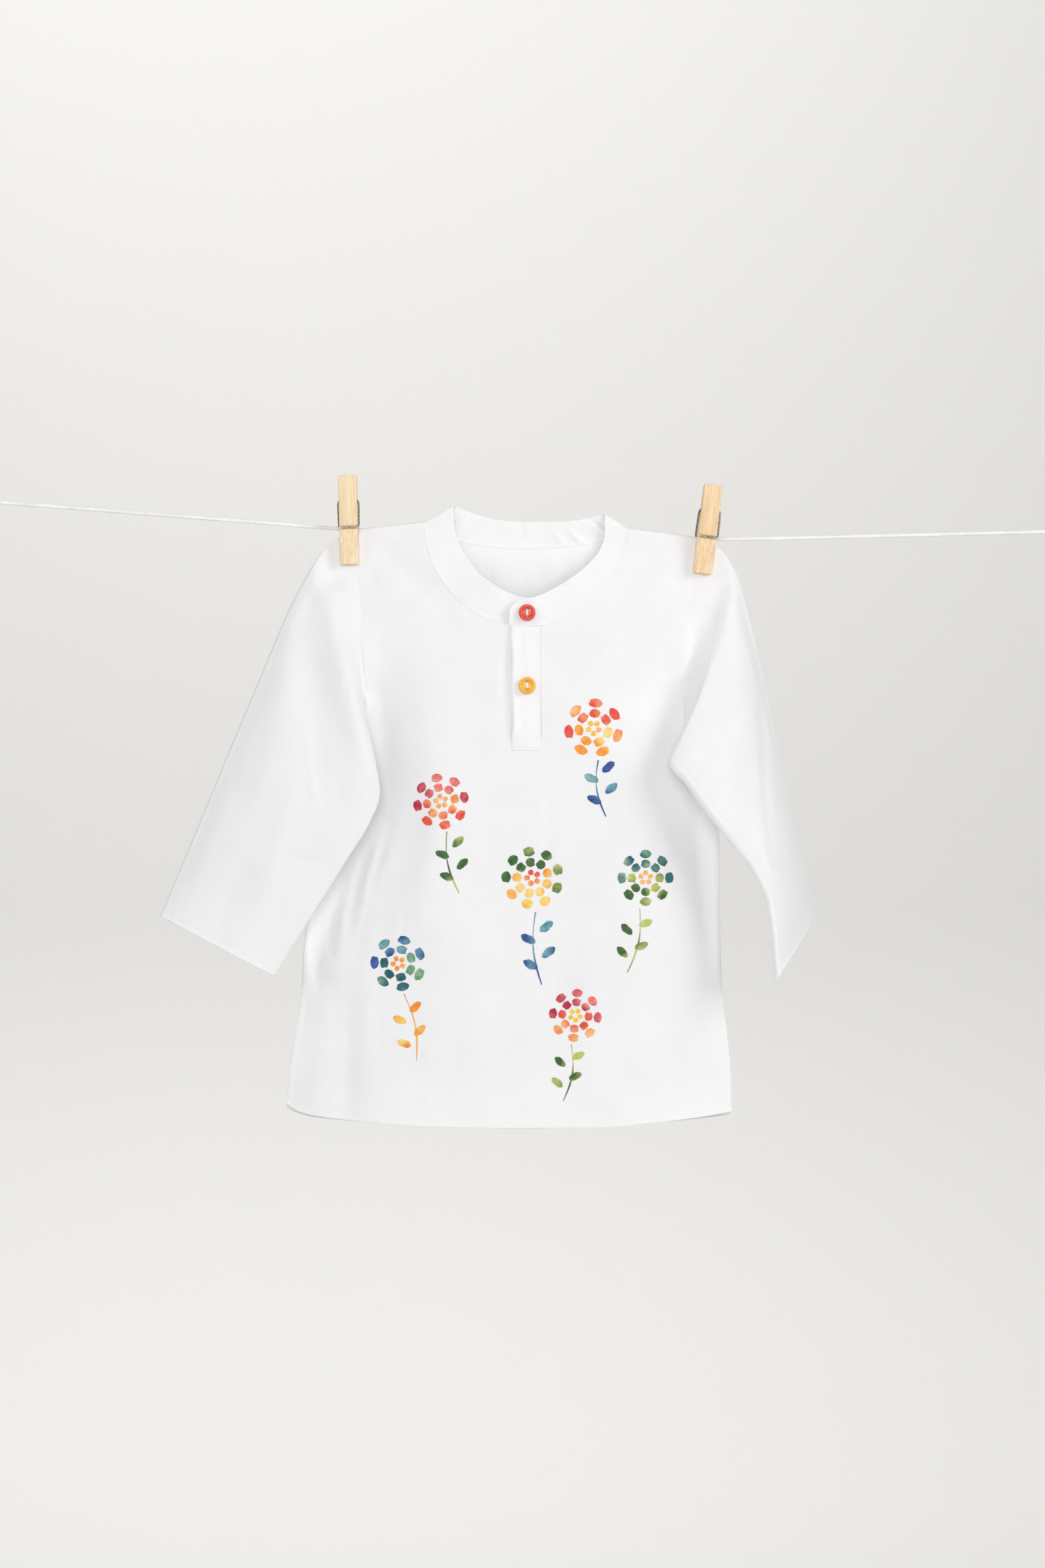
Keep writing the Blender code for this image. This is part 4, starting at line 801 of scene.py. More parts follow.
def cloth(node, points, uv, outward, material, wall, bevel=0.0, **how):
    """A piece of cloth through its outer face's points, in the place of a node of the part."""
    obj = grid_object(f"{node}_cloth", points, uv, outward, material, **how)
    solid = obj.modifiers.new("cloth", "SOLIDIFY")
    solid.thickness, solid.offset, solid.use_even_offset = wall * MM, -1.0, False
    if bevel:
        edge = obj.modifiers.new("edge", "BEVEL")
        edge.width, edge.segments, edge.limit_method = bevel * MM, 2, "ANGLE"
        edge.angle_limit = math.radians(50)
    return stand_for(obj, node)


def normals_of(points, outward, closed=False):
    """Unit normals of a grid of points, out of the cloth."""
    if closed:
        around = np.roll(points, -1, axis=1) - np.roll(points, 1, axis=1)
    else:
        around = np.gradient(points, axis=1)
    found = np.cross(around, np.gradient(points, axis=0))
    found /= np.maximum(np.linalg.norm(found, axis=2, keepdims=True), 1e-9)
    return found * np.sign((found * outward(points.reshape(-1, 3)).reshape(points.shape)).sum())


def sample(grid, row, column):
    """A grid's values between its rows and columns."""
    rows, columns = grid.shape[:2]
    row, column = np.broadcast_arrays(np.asarray(row, float), np.asarray(column, float))
    r = np.clip(row, 0, rows - 1.001)
    c = np.mod(column, columns)
    i, j = r.astype(int), c.astype(int)
    fr, fc = (r - i)[..., None], (c - j)[..., None]
    k = np.mod(j + 1, columns)
    top = grid[i, j] * (1 - fc) + grid[i, k] * fc
    low = grid[i + 1, j] * (1 - fc) + grid[i + 1, k] * fc
    return top * (1 - fr) + low * fr


STITCHES = []


def stitch(points, normals, row, column, length=2.3, radius=0.14):
    """Lays stitches end to end along a path over a grid of points, given by its rows and columns."""
    path, normal = sample(points, row, column), sample(normals, row, column)
    run = lengths_along(path)
    count = int(run[-1] // (length + STITCH_GAP))
    if count < 1:
        return
    pitch = run[-1] / count
    for start in np.arange(count) * pitch + STITCH_GAP / 2:
        ends = []
        for at in (start, start + length / 2, start + pitch - STITCH_GAP):
            spot, out = (joined(*(np.interp(at, run, axis) for axis in way.T)) for way in (path, normal))
            ends.append((spot, out / np.linalg.norm(out)))
        STITCHES.append((ends, radius))


def make_stitches(material):
    """All the stitches as one piece of small rounded bars."""
    points, faces = [], []
    sides = 5
    # Share of the length, thickness and lift of a bar's rings.
    rings = ((0.0, 0.3, -0.35), (0.16, 0.95, 0.25), (0.5, 1.0, 0.45), (0.84, 0.95, 0.25), (1.0, 0.3, -0.35))
    for ends, radius in STITCHES:
        faces += skin(len(rings), sides, len(points))
        along = ends[2][0] - ends[0][0]
        along = along / np.linalg.norm(along)
        for share, thick, lift in rings:
            low, high = ends[:2] if share <= 0.5 else ends[1:]
            t = share * 2 if share <= 0.5 else share * 2 - 1
            spot = low[0] + (high[0] - low[0]) * t
            out = low[1] + (high[1] - low[1]) * t
            beside = np.cross(along, out)
            beside /= np.linalg.norm(beside)
            for k in range(sides):
                turn = 2 * math.pi * k / sides
                raised = out * radius * (lift + 0.8 * thick * math.sin(turn))
                points.append(spot + raised + beside * radius * 1.15 * thick * math.cos(turn))
    obj = solid_object("stitches", points, faces, material)
    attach(obj, "root")


def tube(name, path, radius, material, sides=12, lobes=0, pitch=9.0, taper=None, closed=False):
    """A round tube along a path of millimetres, or a twisted one of a few strands."""
    path = np.asarray(path, float)
    if closed:
        tangent = np.roll(path, -1, axis=0) - np.roll(path, 1, axis=0)
    else:
        tangent = np.gradient(path, axis=0)
    tangent /= np.linalg.norm(tangent, axis=1, keepdims=True)
    run = lengths_along(path)
    guide = np.array([0.0, 0.3, 1.0]) if abs(tangent[0][2]) < 0.9 else np.array([1.0, 0.2, 0.0])
    u = guide - tangent[0] * guide.dot(tangent[0])
    points = []
    for i, t in enumerate(tangent):
        u = u - t * u.dot(t)
        u /= np.linalg.norm(u)
        v = np.cross(t, u)
        thick = radius * (taper[i] if taper is not None else 1.0)
        for k in range(sides):
            turn = 2 * math.pi * k / sides
            bulge = 1.0
            if lobes:
                phase = lobes * turn + 2 * math.pi * run[i] / pitch * lobes / 3.0
                bulge = 0.80 + 0.20 * abs(math.cos(phase / 2.0)) ** 0.7
            points.append(path[i] + thick * bulge * (u * math.cos(turn) + v * math.sin(turn)))
    return solid_object(name, points, skin(len(path), sides, closed=closed), material)


# ---------------------------------------------------------------- the line and its ends


def make_line():
    cord, steel = cord_cotton(), spring_steel("eye_steel")
    x = np.linspace(LINE_ROWS[0][0], LINE_ROWS[-1][0], 900)
    route = joined(x, *(read(LINE_COLUMNS, LINE_ROWS, key, x) for key in ("depth", "z")))
    line = tube("clothes_line", route, LINE_RADIUS, cord, sides=18, lobes=3, pitch=8.0)
    stand_for(line, "line")
    turn = np.linspace(0, 2 * math.pi, 121)[:-1]
    winding = np.linspace(0, 4 * 2 * math.pi, 110)
    steps = np.linspace(0.0, EYE_SHANK, 90)
    thread = np.where(steps < 3.0, 0.8, 0.66 + 0.14 * np.cos(steps * 2 * math.pi / 1.5))
    thread = thread * np.clip((EYE_SHANK - steps) / 2.5, 0.12, 1.0)
    for side, name, end in ((-1, "left", route[0]), (1, "right", route[-1])):
        x, depth, z = end
        knot_x = x + side * SEAM
        loop_x = knot_x + side * (KNOT_LENGTH + LOOP_RADIUS - 1.0)
        eye_x = loop_x + side * (LOOP_RADIUS - LINE_RADIUS - SEAM - EYE_WIRE + EYE_RADIUS)
        shank_x = eye_x + side * (EYE_RADIUS - 0.4)
        wrap_x = knot_x + side * (1.2 + (KNOT_LENGTH - 2.4) * np.linspace(0, 1, 110))
        path = joined(wrap_x, depth + WRAP_RADIUS * np.cos(winding), z + WRAP_RADIUS * np.sin(winding))
        knot = tube(f"knot_{name}", path, 1.2, cord, lobes=3, pitch=6.0)
        path = joined(knot_x + side * np.linspace(0.0, KNOT_LENGTH, 12), depth, z)
        core = tube(f"knot_core_{name}", path, 1.25, cord, lobes=3, pitch=6.0)
        path = joined(loop_x - side * LOOP_RADIUS * np.cos(turn), depth, z + LOOP_RADIUS * np.sin(turn))
        pitch = 2 * math.pi * LOOP_RADIUS / 5
        loop = tube(f"loop_{name}", path, LINE_RADIUS, cord, lobes=3, pitch=pitch, closed=True)
        path = joined(eye_x + side * EYE_RADIUS * np.cos(turn), depth + EYE_RADIUS * np.sin(turn), z)
        eye = tube(f"eye_{name}", path, EYE_WIRE, steel, sides=14, closed=True)
        path = joined(shank_x + side * steps, depth, z)
        shank = tube(f"shank_{name}", path, EYE_WIRE, steel, sides=14, taper=thread)
        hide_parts(f"line_loop_{name}")
        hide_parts(f"screw_eye_{name}")
        for piece, slot in ((knot, "cord"), (core, "cord"), (loop, "cord"), (eye, "steel"), (shank, "steel")):
            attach(piece, "root")


# ---------------------------------------------------------------- the tunic


def neck_turns(columns):
    notch = math.degrees(math.asin((PLACKET_HALF_WIDTH - 0.7) / NECK_HALF_WIDTH))
    return np.linspace(notch, 90.0, columns + 1)


def panel_shares(neck_columns, shoulder_columns, middle_columns):
    """Shares of the width, closer together in the turned edge at each side."""
    neck = np.sin(np.radians(neck_turns(neck_columns))) * NECK_HALF_WIDTH / PANEL_TOP_HALF
    middle = np.linspace(0.0, neck[0], middle_columns + 1)[:-1]
    edge = 1.0 - np.array([4.6, 4.0, 3.6, 3.3, 3.0, 2.5, 1.6, 0.8, 0.3, 0.0]) / 140.0
    shoulder = np.linspace(neck[-1], edge[0], shoulder_columns + 1)[1:-1]
    half = np.concatenate([middle, neck, shoulder, edge])
    return np.concatenate([-half[:0:-1], half])


def panel_downs(rows):
    """Rows, closer together at the shoulder and in the hem."""
    top = np.array([0.0, 0.4, 1.0, 1.8, 2.8, 4.0]) / PANEL_HEIGHT
    hem = 1.0 - HEM_STEPS / PANEL_HEIGHT
    middle = np.linspace(0.0, 1.0, rows + 1) ** 1.12
    middle = top[-1] + (hem[0] - top[-1]) * middle[1:-1]
    return np.concatenate([top, middle, hem])


def make_panel(side, material):
    name, low, drop = ("front", NECK_LOW, 0.0) if side < 0 else ("back", BACK_NECK_LOW, BACK_HEM_DROP)
    shares = panel_shares(46, 20, 5) if side < 0 else panel_shares(34, 16, 4)
    downs = panel_downs(165 if side < 0 else 125)
    share, down = np.meshgrid(shares, downs)
    x, z = panel_place(share, down, low, drop)
    points = joined(x, cloth_depth(side, x, z), z)
    keep = None
    if side < 0:
        # The front is left open above the placket's slit.
        notch = shares[np.searchsorted(shares, 0.0) + 5]
        centre, height = ((grid[:-1, :-1] + grid[1:, 1:]) / 2 for grid in (share, z))
        keep = ~((np.abs(centre) < notch) & (height > SLIT_BOTTOM))
    obj = cloth(name, points, joined(x, z), upright(side), material, CLOTH_WALL, keep=keep)
    normals = normals_of(points, upright(side))

    def line(share, down, **how):
        column = np.clip(index_at(share, shares), 0, len(shares) - 1.001)
        stitch(points, normals, index_at(down, downs), column, **how)

    line(np.linspace(-0.972, 0.972, 200), 1.0 - STITCH_IN / PANEL_HEIGHT)
    slit_end = SIDE_SLIT_TOP + 3.0
    for edge in (-1.0, 1.0):
        z_steps = np.linspace(slit_end, HEM_MIDDLE + 18.0, 60)
        at_edge = np.full(60, edge)
        top, ends = neck_height(at_edge * PANEL_TOP_HALF, 0.0), hem_height(at_edge, 0.0)
        line(edge * (1.0 - STITCH_IN / half_width(at_edge, z_steps)), (z_steps - top) / (ends - top))
        across_edge = edge * (1.0 - np.linspace(0.3, STITCH_IN, 8) / 135.0)
        line(across_edge, (slit_end - top[0]) / (ends[0] - top[0]), length=1.6)
        x_steps = np.linspace(NECK_HALF_WIDTH + 2.0, 101.0, 30) * edge
        top = shoulder_height(x_steps)
        shoulder = across(x_steps, top - SHOULDER_STITCH)
        line(shoulder, SHOULDER_STITCH / (top - hem_height(shoulder, drop)))
    return obj


def neck_edge():
    """The part's neck edges once round: turns in degrees, and the corners there."""
    front, back = np.concatenate([[0.0], neck_turns(6)]), neck_turns(5)
    turns = [front, 180.0 - back[::-1], 180.0 + back, 360.0 - front[::-1]]
    places = []
    for number, part in enumerate(turns):
        share = -np.sin(np.radians(part)) * NECK_HALF_WIDTH / PANEL_TOP_HALF
        side, low = (-1, NECK_LOW) if number in (0, 3) else (1, BACK_NECK_LOW)
        x, z = panel_place(share, np.zeros_like(share), low, 0.0)
        places.append(joined(x, base_depth(side, x, z), z))
    return np.concatenate(turns), np.concatenate(places)


def collar_point(turn, up):
    """Points of the collar's outer face. It starts COLLAR_TUCK lower than the part's, on the panel's edge."""
    edge_turns, edge_places = neck_edge()
    around = np.mod(turn, 360.0)
    fine = np.linspace(0.0, 360.0, 721)
    smooth = joined(*(np.interp(fine, edge_turns, edge_places[:, i]) for i in range(3)))
    which = (fine > 90.0) & (fine < 270.0)
    share = -np.sin(np.radians(fine)) * NECK_HALF_WIDTH / PANEL_TOP_HALF
    for low, chosen in ((NECK_LOW, ~which), (BACK_NECK_LOW, which)):
        smooth[chosen, 0], smooth[chosen, 2] = panel_place(share[chosen], np.zeros(chosen.sum()), low, 0.0)
    seam = joined(*(np.interp(around, fine, smooth[:, i]) for i in range(3)))
    top_x, top_z, step = (read(COLLAR_COLUMNS, COLLAR_ROWS, key, turn) for key in ("top_x", "top_z", "step"))
    behind = (around > 90.0) & (around < 270.0)
    from_fold = np.minimum(np.abs(around - 90.0), np.abs(around - 270.0))
    open_share = np.sqrt(np.clip(from_fold / 2.0, 0.0, 1.0))
    top_front = np.minimum(base_depth(-1, top_x, top_z), -COLLAR_FOLD) - 2.0 * smoothstep(-top_z / 40.0)
    top_back = np.maximum(base_depth(1, top_x, top_z), COLLAR_FOLD)
    low_y = np.where(behind, np.maximum(seam[..., 1], COLLAR_FOLD), np.minimum(seam[..., 1], -COLLAR_FOLD))
    seam[..., 1] = low_y * open_share
    top = joined(top_x, np.where(behind, top_back, top_front) * open_share, top_z)
    away = (top - seam) / np.linalg.norm(top - seam, axis=-1, keepdims=True)
    seam = seam + away * (2 * SEAM - COLLAR_TUCK)
    spot = seam + (top - seam) * up[..., None]
    spot[..., 1] -= step
    return spot


def make_collar(material):
    near_folds = [np.linspace(fold - 3.0, fold + 3.0, 25) for fold in (90.0, 270.0)]
    turns = np.unique(np.concatenate([np.linspace(-8.0, 370.2, 300), *near_folds]))
    ups = np.array([0.0, 0.03, 0.07, 0.12, 0.2, 0.3, 0.42, 0.55, 0.68, 0.8, 0.88, 0.93, 0.97, 1.0])
    turn, up = np.meshgrid(turns, ups)
    points = collar_point(turn, up)

    def outward(spots):
        return joined(spots[:, 0], spots[:, 1] * 3.0, 0.0)

    normals = normals_of(points, outward)
    relief = sum(
        height * bell((turn - at) / width) * (0.5 + 0.5 * np.sin(up * 5.0 + at))
        for at, height, width in COLLAR_CREASES
    )
    relief = relief * (1.0 - 0.6 * smoothstep((up - 0.75) / 0.25))
    relief = relief + 0.12 * np.sin(turn / 4.3) * np.sin(up * 4.0 + turn / 17.0)
    relief -= 0.08 * bell((up - COLLAR_STITCH) / 0.03) + 0.2 * bell((up - 0.90) / 0.022)
    steady = smoothstep(np.minimum(np.abs(turn - 90.0), np.abs(turn - 270.0)) / 4.0)
    points = points + normals * (relief * steady)[..., None]
    x, z = points[..., 0], points[..., 2]
    behind = (turn > 90.0) & (turn < 270.0)
    seated = np.where(behind, cloth_depth(1, x, z) + 0.6, cloth_depth(-1, x, z) - 0.15)
    sewn = (1.0 - smoothstep(up / 0.13)) * steady * smoothstep((turn - 8.0) / 5.0)
    sewn = sewn * (1.0 - smoothstep((turn - 344.0) / 8.0))
    points[..., 1] += (seated - points[..., 1]) * sewn
    columns = np.linspace(4, len(turns) - 5, 700)
    stitch(points, normals, index_at(COLLAR_STITCH, ups), columns, length=1.7, radius=0.11)
    uv = joined(lengths_along(points[7])[None, :], ups[:, None] * COLLAR_HEIGHT)
    return cloth("collar", points, uv, outward, material, 1.2, 0.3)


def strip_lift(x, z, left, right, bottom):
    """How far the over strip stands off the panel. Its left edge is a free fold; the others are sewn down."""
    def rounded(away, reach):
        return np.sqrt(1.0 - (1.0 - np.clip(away / reach, 0.0, 1.0)) ** 2)

    free = smoothstep((z - bottom - 7.0) / 8.0)
    lift = 0.3 + 0.75 * smoothstep((right - x) / 9.0)
    lift += free * bell((x - left - 1.8) / 2.6) * (1.2 + 0.5 * np.sin(z / 7.5) + 0.25 * np.sin(z / 3.1))
    lift = (0.45 + (lift - 0.45) * smoothstep((z - bottom) / 9.0)) * rounded(z - bottom, 0.9)
    lift *= rounded(right - x, 0.9) * rounded(x - left, 0.9 + 0.8 * free)
    lift = 0.3 + (lift - 0.3) * smoothstep((NECK_LOW + 0.6 - z) / 1.4)
    lift -= 0.12 * bell((right - x - STRIP_STITCH) / 0.5)
    for at in (bottom + BOX_LOW, bottom + BOX_HIGH):
        lift -= 0.18 * bell((z - at) / 0.5)
    return lift + 0.05


def make_placket(material):
    left, right = -PLACKET_HALF_WIDTH, PLACKET_HALF_WIDTH - 0.5
    top, bottom = NECK_LOW + 2.4, PLACKET_BOTTOM
    edge = np.array([0.0, 0.15, 0.4, 0.7, 1.0, 1.4, 1.8])
    xs = np.concatenate([left + edge, np.linspace(left + 2.6, right - 2.6, 18), right - edge[::-1]])
    zs = np.concatenate([bottom + edge, np.linspace(bottom + 2.6, top, 84)])
    x, z = np.meshgrid(xs, zs)
    sway = 0.55 * np.sin(z / 12.0) * smoothstep((z - bottom - 10.0) / 10.0)
    sway = (sway - 1.5 * smoothstep((z + 82.0) / 14.0)) * smoothstep((-4.0 - x) / 5.0)
    points = joined(x + sway, cloth_depth(-1, x + sway, z) - strip_lift(x, z, left, right, bottom), z)
    over = cloth("placket_over", points, joined(x + 40.0, z), upright(-1), material, 0.8, 0.25)
    normals = normals_of(points, upright(-1))
    steps = np.linspace(0.0, 1.0, 60)
    ends = (left + STRIP_STITCH, right - STRIP_STITCH)
    # Stitch lines from (x, z) to (x, z): down the sewn edge, then the box across the bottom.
    for x1, z1, x2, z2, length in (
        (ends[1], top - 1.5, ends[1], bottom + BOX_LOW, 2.3),
        (ends[1], bottom + BOX_LOW, ends[0], bottom + BOX_LOW, 1.7),
        (ends[0], bottom + BOX_LOW, ends[0], bottom + BOX_HIGH, 1.7),
        (ends[0], bottom + BOX_HIGH, ends[1], bottom + BOX_HIGH, 1.7),
    ):
        row, column = index_at(z1 + (z2 - z1) * steps, zs), index_at(x1 + (x2 - x1) * steps, xs)
        stitch(points, normals, row, column, length=length)

    x, z = np.meshgrid(
        np.linspace(left - 2.2, right - 1.6, 16), np.linspace(SLIT_BOTTOM - 4.6, NECK_LOW - 1.8, 60)
    )
    points = joined(x, base_depth(-1, x, z) + 1.4, z)
    return over, cloth("placket_under", points, joined(x - 60.0, z), upright(-1), material, 0.8, 0.2)


def sleeve_ring(stations, along, turn, side_folds, creases, armhole, tip_height):
    """Points round a sleeve. turn is 0 at the top fold, 0.5 at the underarm and in front between them."""
    key = {name: read(SLEEVE_COLUMNS, stations, name, along) for name in SLEEVE_COLUMNS}
    top, under = (joined(*(key[f"{end}_{axis}"] for axis in "xyz")) for end in ("top", "under"))
    spread = (top - under) / np.linalg.norm(top - under, axis=-1, keepdims=True)
    facing = np.array([0.0, -1.0, 0.0]) - spread * (-spread[..., 1:2])
    facing /= np.linalg.norm(facing, axis=-1, keepdims=True)

    folded = np.minimum(turn, 1.0 - turn)
    sign = np.where(turn <= 0.5, 1.0, -1.0)
    flat = np.clip((folded - CAP) / (0.5 - 2 * CAP), 0.0, 1.0)
    top_turn = np.clip(folded / CAP, 0.0, 1.0) * math.pi / 2
    under_turn = np.clip((0.5 - folded) / CAP, 0.0, 1.0) * math.pi / 2
    radius = key["round"]
    start, end = top - spread * radius[..., None], under + spread * radius[..., None]
    tip = (np.cos(top_turn) * (folded < CAP) - np.cos(under_turn) * (0.5 - folded < CAP)) * radius
    swell = np.where(sign > 0, key["front"], key["back"]) * (4 * flat * (1 - flat)) ** 0.8
    stand = np.sin(top_turn) * np.sin(under_turn) * radius + swell
    spot = start + (end - start) * flat[..., None] + spread * tip[..., None]
    spot = spot + facing * (sign * stand)[..., None]

    calm = smoothstep(flat / 0.12) * smoothstep((1 - flat) / 0.12)
    x, z = spot[..., 0], spot[..., 2]
    relief = fold_relief(side_folds, x, z) * (sign > 0)
    fine = crease_relief(creases, x, z) + 1.2 * ripple(x, z, armhole)
    relief = relief + fine * sign * np.where(sign > 0, 1.0, 0.8) * smoothstep((along - 0.03) / 0.1)
    spot = spot + facing * (relief * calm)[..., None]

    # The sleeve's first rows follow the body's edge instead.
    hole_z = tip_height + (ARMPIT_HEIGHT - tip_height) * flat
    hole_z = hole_z + tip - radius * (1 - 2 * flat)
    edge_x = body("left" if armhole < 0 else "right", hole_z)
    edge_y = np.where(sign > 0, base_depth(-1, edge_x, hole_z), base_depth(1, edge_x, hole_z))
    edge_y = np.sign(edge_y) * np.maximum(np.abs(edge_y) - 0.12, 0.5)
    edge_y = edge_y * np.sin(top_turn) * np.sin(under_turn)
    outward = -1.3 - 0.8 * flat**8 + along * (140.0 - 120.0 * flat**6)
    hole = joined(edge_x + armhole * outward, edge_y, hole_z - 0.8 * flat**8)
    spot = hole + (spot - hole) * smoothstep(along / 0.06)[..., None]
    spot[..., 1] = pinched(spot[..., 0], spot[..., 1], spot[..., 2])
    return spot


def make_sleeve(name, material, stations, folds, creases, armhole, tip_height):
    half = np.concatenate(
        [np.linspace(0.0, CAP, 8)[:-1], np.linspace(CAP, 0.5 - CAP, 47), np.linspace(0.5 - CAP, 0.5, 8)[1:]]
    )
    turns = np.concatenate([half, 1.0 - half[-2:0:-1]])
    cuff = 1.0 - HEM_STEPS / SLEEVE_LENGTH
    alongs = np.concatenate([np.linspace(0.0, 1.0, 121)[:-1] ** 1.25 * cuff[0], cuff])
    turn, along = np.meshgrid(turns, alongs)
    points = sleeve_ring(stations, along, turn, folds, creases, armhole, tip_height)
    centres = points.mean(axis=1)[::6]

    def outward(spots):
        away = np.linalg.norm(spots[:, None, :] - centres[None, :, :], axis=2)
        return spots - centres[away.argmin(axis=1)]

    normals = normals_of(points, outward, closed=True)
    from_cuff = (1.0 - along) * SLEEVE_LENGTH
    relief = turned_edge(from_cuff)
    seam_turns = 0.5 - armhole * np.array([CAP * 0.62, CAP + 0.012])
    inside = (turn - seam_turns[0]) * (turn - seam_turns[1]) / 0.005**2
    relief = relief + 0.25 * (1.0 - smoothstep(inside + 1.0)) * smoothstep(along / 0.05)
    relief = relief + puckers(from_cuff, turn * SLEEVE_ROUND)
    points = points + normals * relief[..., None]
    cuff_row = index_at(1.0 - STITCH_IN / SLEEVE_LENGTH, alongs)
    stitch(points, normals, cuff_row, np.linspace(0, len(turns), 260))
    rows = np.linspace(index_at(0.1, alongs), len(alongs) - 11, 200)
    for at in seam_turns:
        stitch(points, normals, rows, index_at(at, turns), length=2.0, radius=0.16)
    uv = joined(lengths_along(points[60])[None, :], (alongs * SLEEVE_LENGTH)[:, None])
    uv = np.concatenate([uv, uv[:, -1:] + [[[2.0, 0.0]]]], axis=1)
    return cloth(name, points, uv, outward, material, CLOTH_WALL, closed=True)


# ---------------------------------------------------------------- buttons


def screw_solid(name, profile, steps, material):
    """A solid turned round its own Z from a profile of (radius, height)."""
    outline = bmesh.new()
    corners = [outline.verts.new((r * MM, 0.0, h * MM)) for r, h in profile]
    for pair in zip(corners, corners[1:]):
        outline.edges.new(pair)
    bmesh.ops.spin(
        outline, geom=list(outline.verts) + list(outline.edges), cent=(0, 0, 0), axis=(0, 0, 1),
        angle=2 * math.pi, steps=steps,
    )
    mesh = bpy.data.meshes.new(name)
    outline.to_mesh(mesh)
    outline.free()
    face_outwards(mesh, 1e-6)
    return link(name, mesh, material)


def make_button(node, material, thread, height, tail):
    rim, dish = BUTTON_RADIUS, BUTTON_RADIUS * 0.64
    profile = [(0.0, 1.15), (dish - 1.2, 1.18), (dish - 0.4, 1.3), (dish + 0.1, 1.72)]
    for t in np.linspace(-0.5, math.pi - 0.9, 14):
        profile.append((rim - 1.15 + 1.15 * math.sin(t), 0.95 + 1.2 * math.cos(t)))
    profile += [(rim - 1.1, 0.12), (rim - 2.0, 0.0), (0.0, 0.0)]
    obj = screw_solid(f"{node}_disc", profile, 72, material)
    cutters = []
    hole = [(0, -2), (0.95, -2), (0.95, 1.0), (1.15, 1.3), (1.15, 4), (0, 4)]
    for offset in (-HOLE_OFFSET, HOLE_OFFSET):
        cutter = screw_solid("cut", hole, 24, material)
        cutter.data.transform(Matrix.Translation((0.0, offset * MM, 0.0)))
        cut = obj.modifiers.new("hole", "BOOLEAN")
        cut.object, cut.solver = cutter, "EXACT"
        cutters.append(cutter)
    below, above = base_depth(-1, np.zeros(2), np.array([height - 5.0, height + 5.0]))
    lean = math.pi / 2 + math.atan2(below - above, 10.0)
    lo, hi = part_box(node)
    place = Matrix.Translation((lo + hi) / 2) @ Matrix.Rotation(lean, 4, "X")
    place = place @ Matrix.Translation((0, 0, -BUTTON_THICK / 2 * MM))
    mesh = bpy.data.meshes.new_from_object(obj.evaluated_get(bpy.context.evaluated_depsgraph_get()))
    obj.modifiers.clear()
    obj.data = mesh
    for cutter in cutters:
        bpy.data.objects.remove(cutter)
    mesh.transform(place)
    mesh.set_sharp_from_angle(angle=math.radians(40))
    stand_for(obj, node)

    t = np.linspace(-1.0, 1.0, 17)
    rise = 1.25 + 0.42 * (1 - t**4) - 1.6 * np.abs(t) ** 14
    strands = [
        (joined(shift + 0.1 * np.sin(t * 3 + shift * 9), HOLE_OFFSET * t, rise), 0.24)
        for shift in (-0.28, 0.0, 0.3)
    ]
    if tail:
        t = np.linspace(0.0, 1.0, 26)
        loose_x, loose_z = 0.3 + 2.8 * t + 0.9 * np.sin(t * 5.0), 1.75 + 0.9 * np.sin(t * 3.0) + 0.35
        strands.append((joined(loose_x, 0.6 + 3.6 * t - 3.8 * t * t, loose_z), 0.16))
    for number, (strand, radius) in enumerate(strands):
        spots = np.array([place @ Vector(p * MM) for p in strand]) / MM + np.array([0.0, LINE_BEHIND, 0.0])
        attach(tube(f"{node}_thread_{number}", spots, radius, thread, sides=8), "root")


# ---------------------------------------------------------------- pegs


def stand_at_peg(obj, peg, part):
    x, z, tilt, _ = PEGS[peg]
    spot = Matrix.Translation(Vector((x, -LINE_BEHIND, z)) * MM)
    obj.matrix_world = spot @ Matrix.Rotation(math.radians(tilt), 4, "Y")
    stand_for(obj, f"{peg}_{part}")


def curve_through(name, points, bevel, outline=False):
    """Curve data with straight steps through points of millimetres, as a wire or as a flat closed outline."""
    curve = bpy.data.curves.new(name, "CURVE")
    curve.dimensions, curve.bevel_depth = "2D" if outline else "3D", bevel * MM
    spline = curve.splines.new("POLY")
    spline.use_cyclic_u, spline.use_smooth = outline, not outline
    spline.points.add(len(points) - 1)
    for target, (x, y, z) in zip(spline.points, points):
        target.co = (x * MM, y * MM, z * MM, 1.0)
    return curve


def notch_side(height, radius):
    reach = math.acos(PEG_GAP / radius)
    return [(radius * math.cos(t), height + radius * math.sin(t)) for t in np.linspace(-reach, reach, 19)]


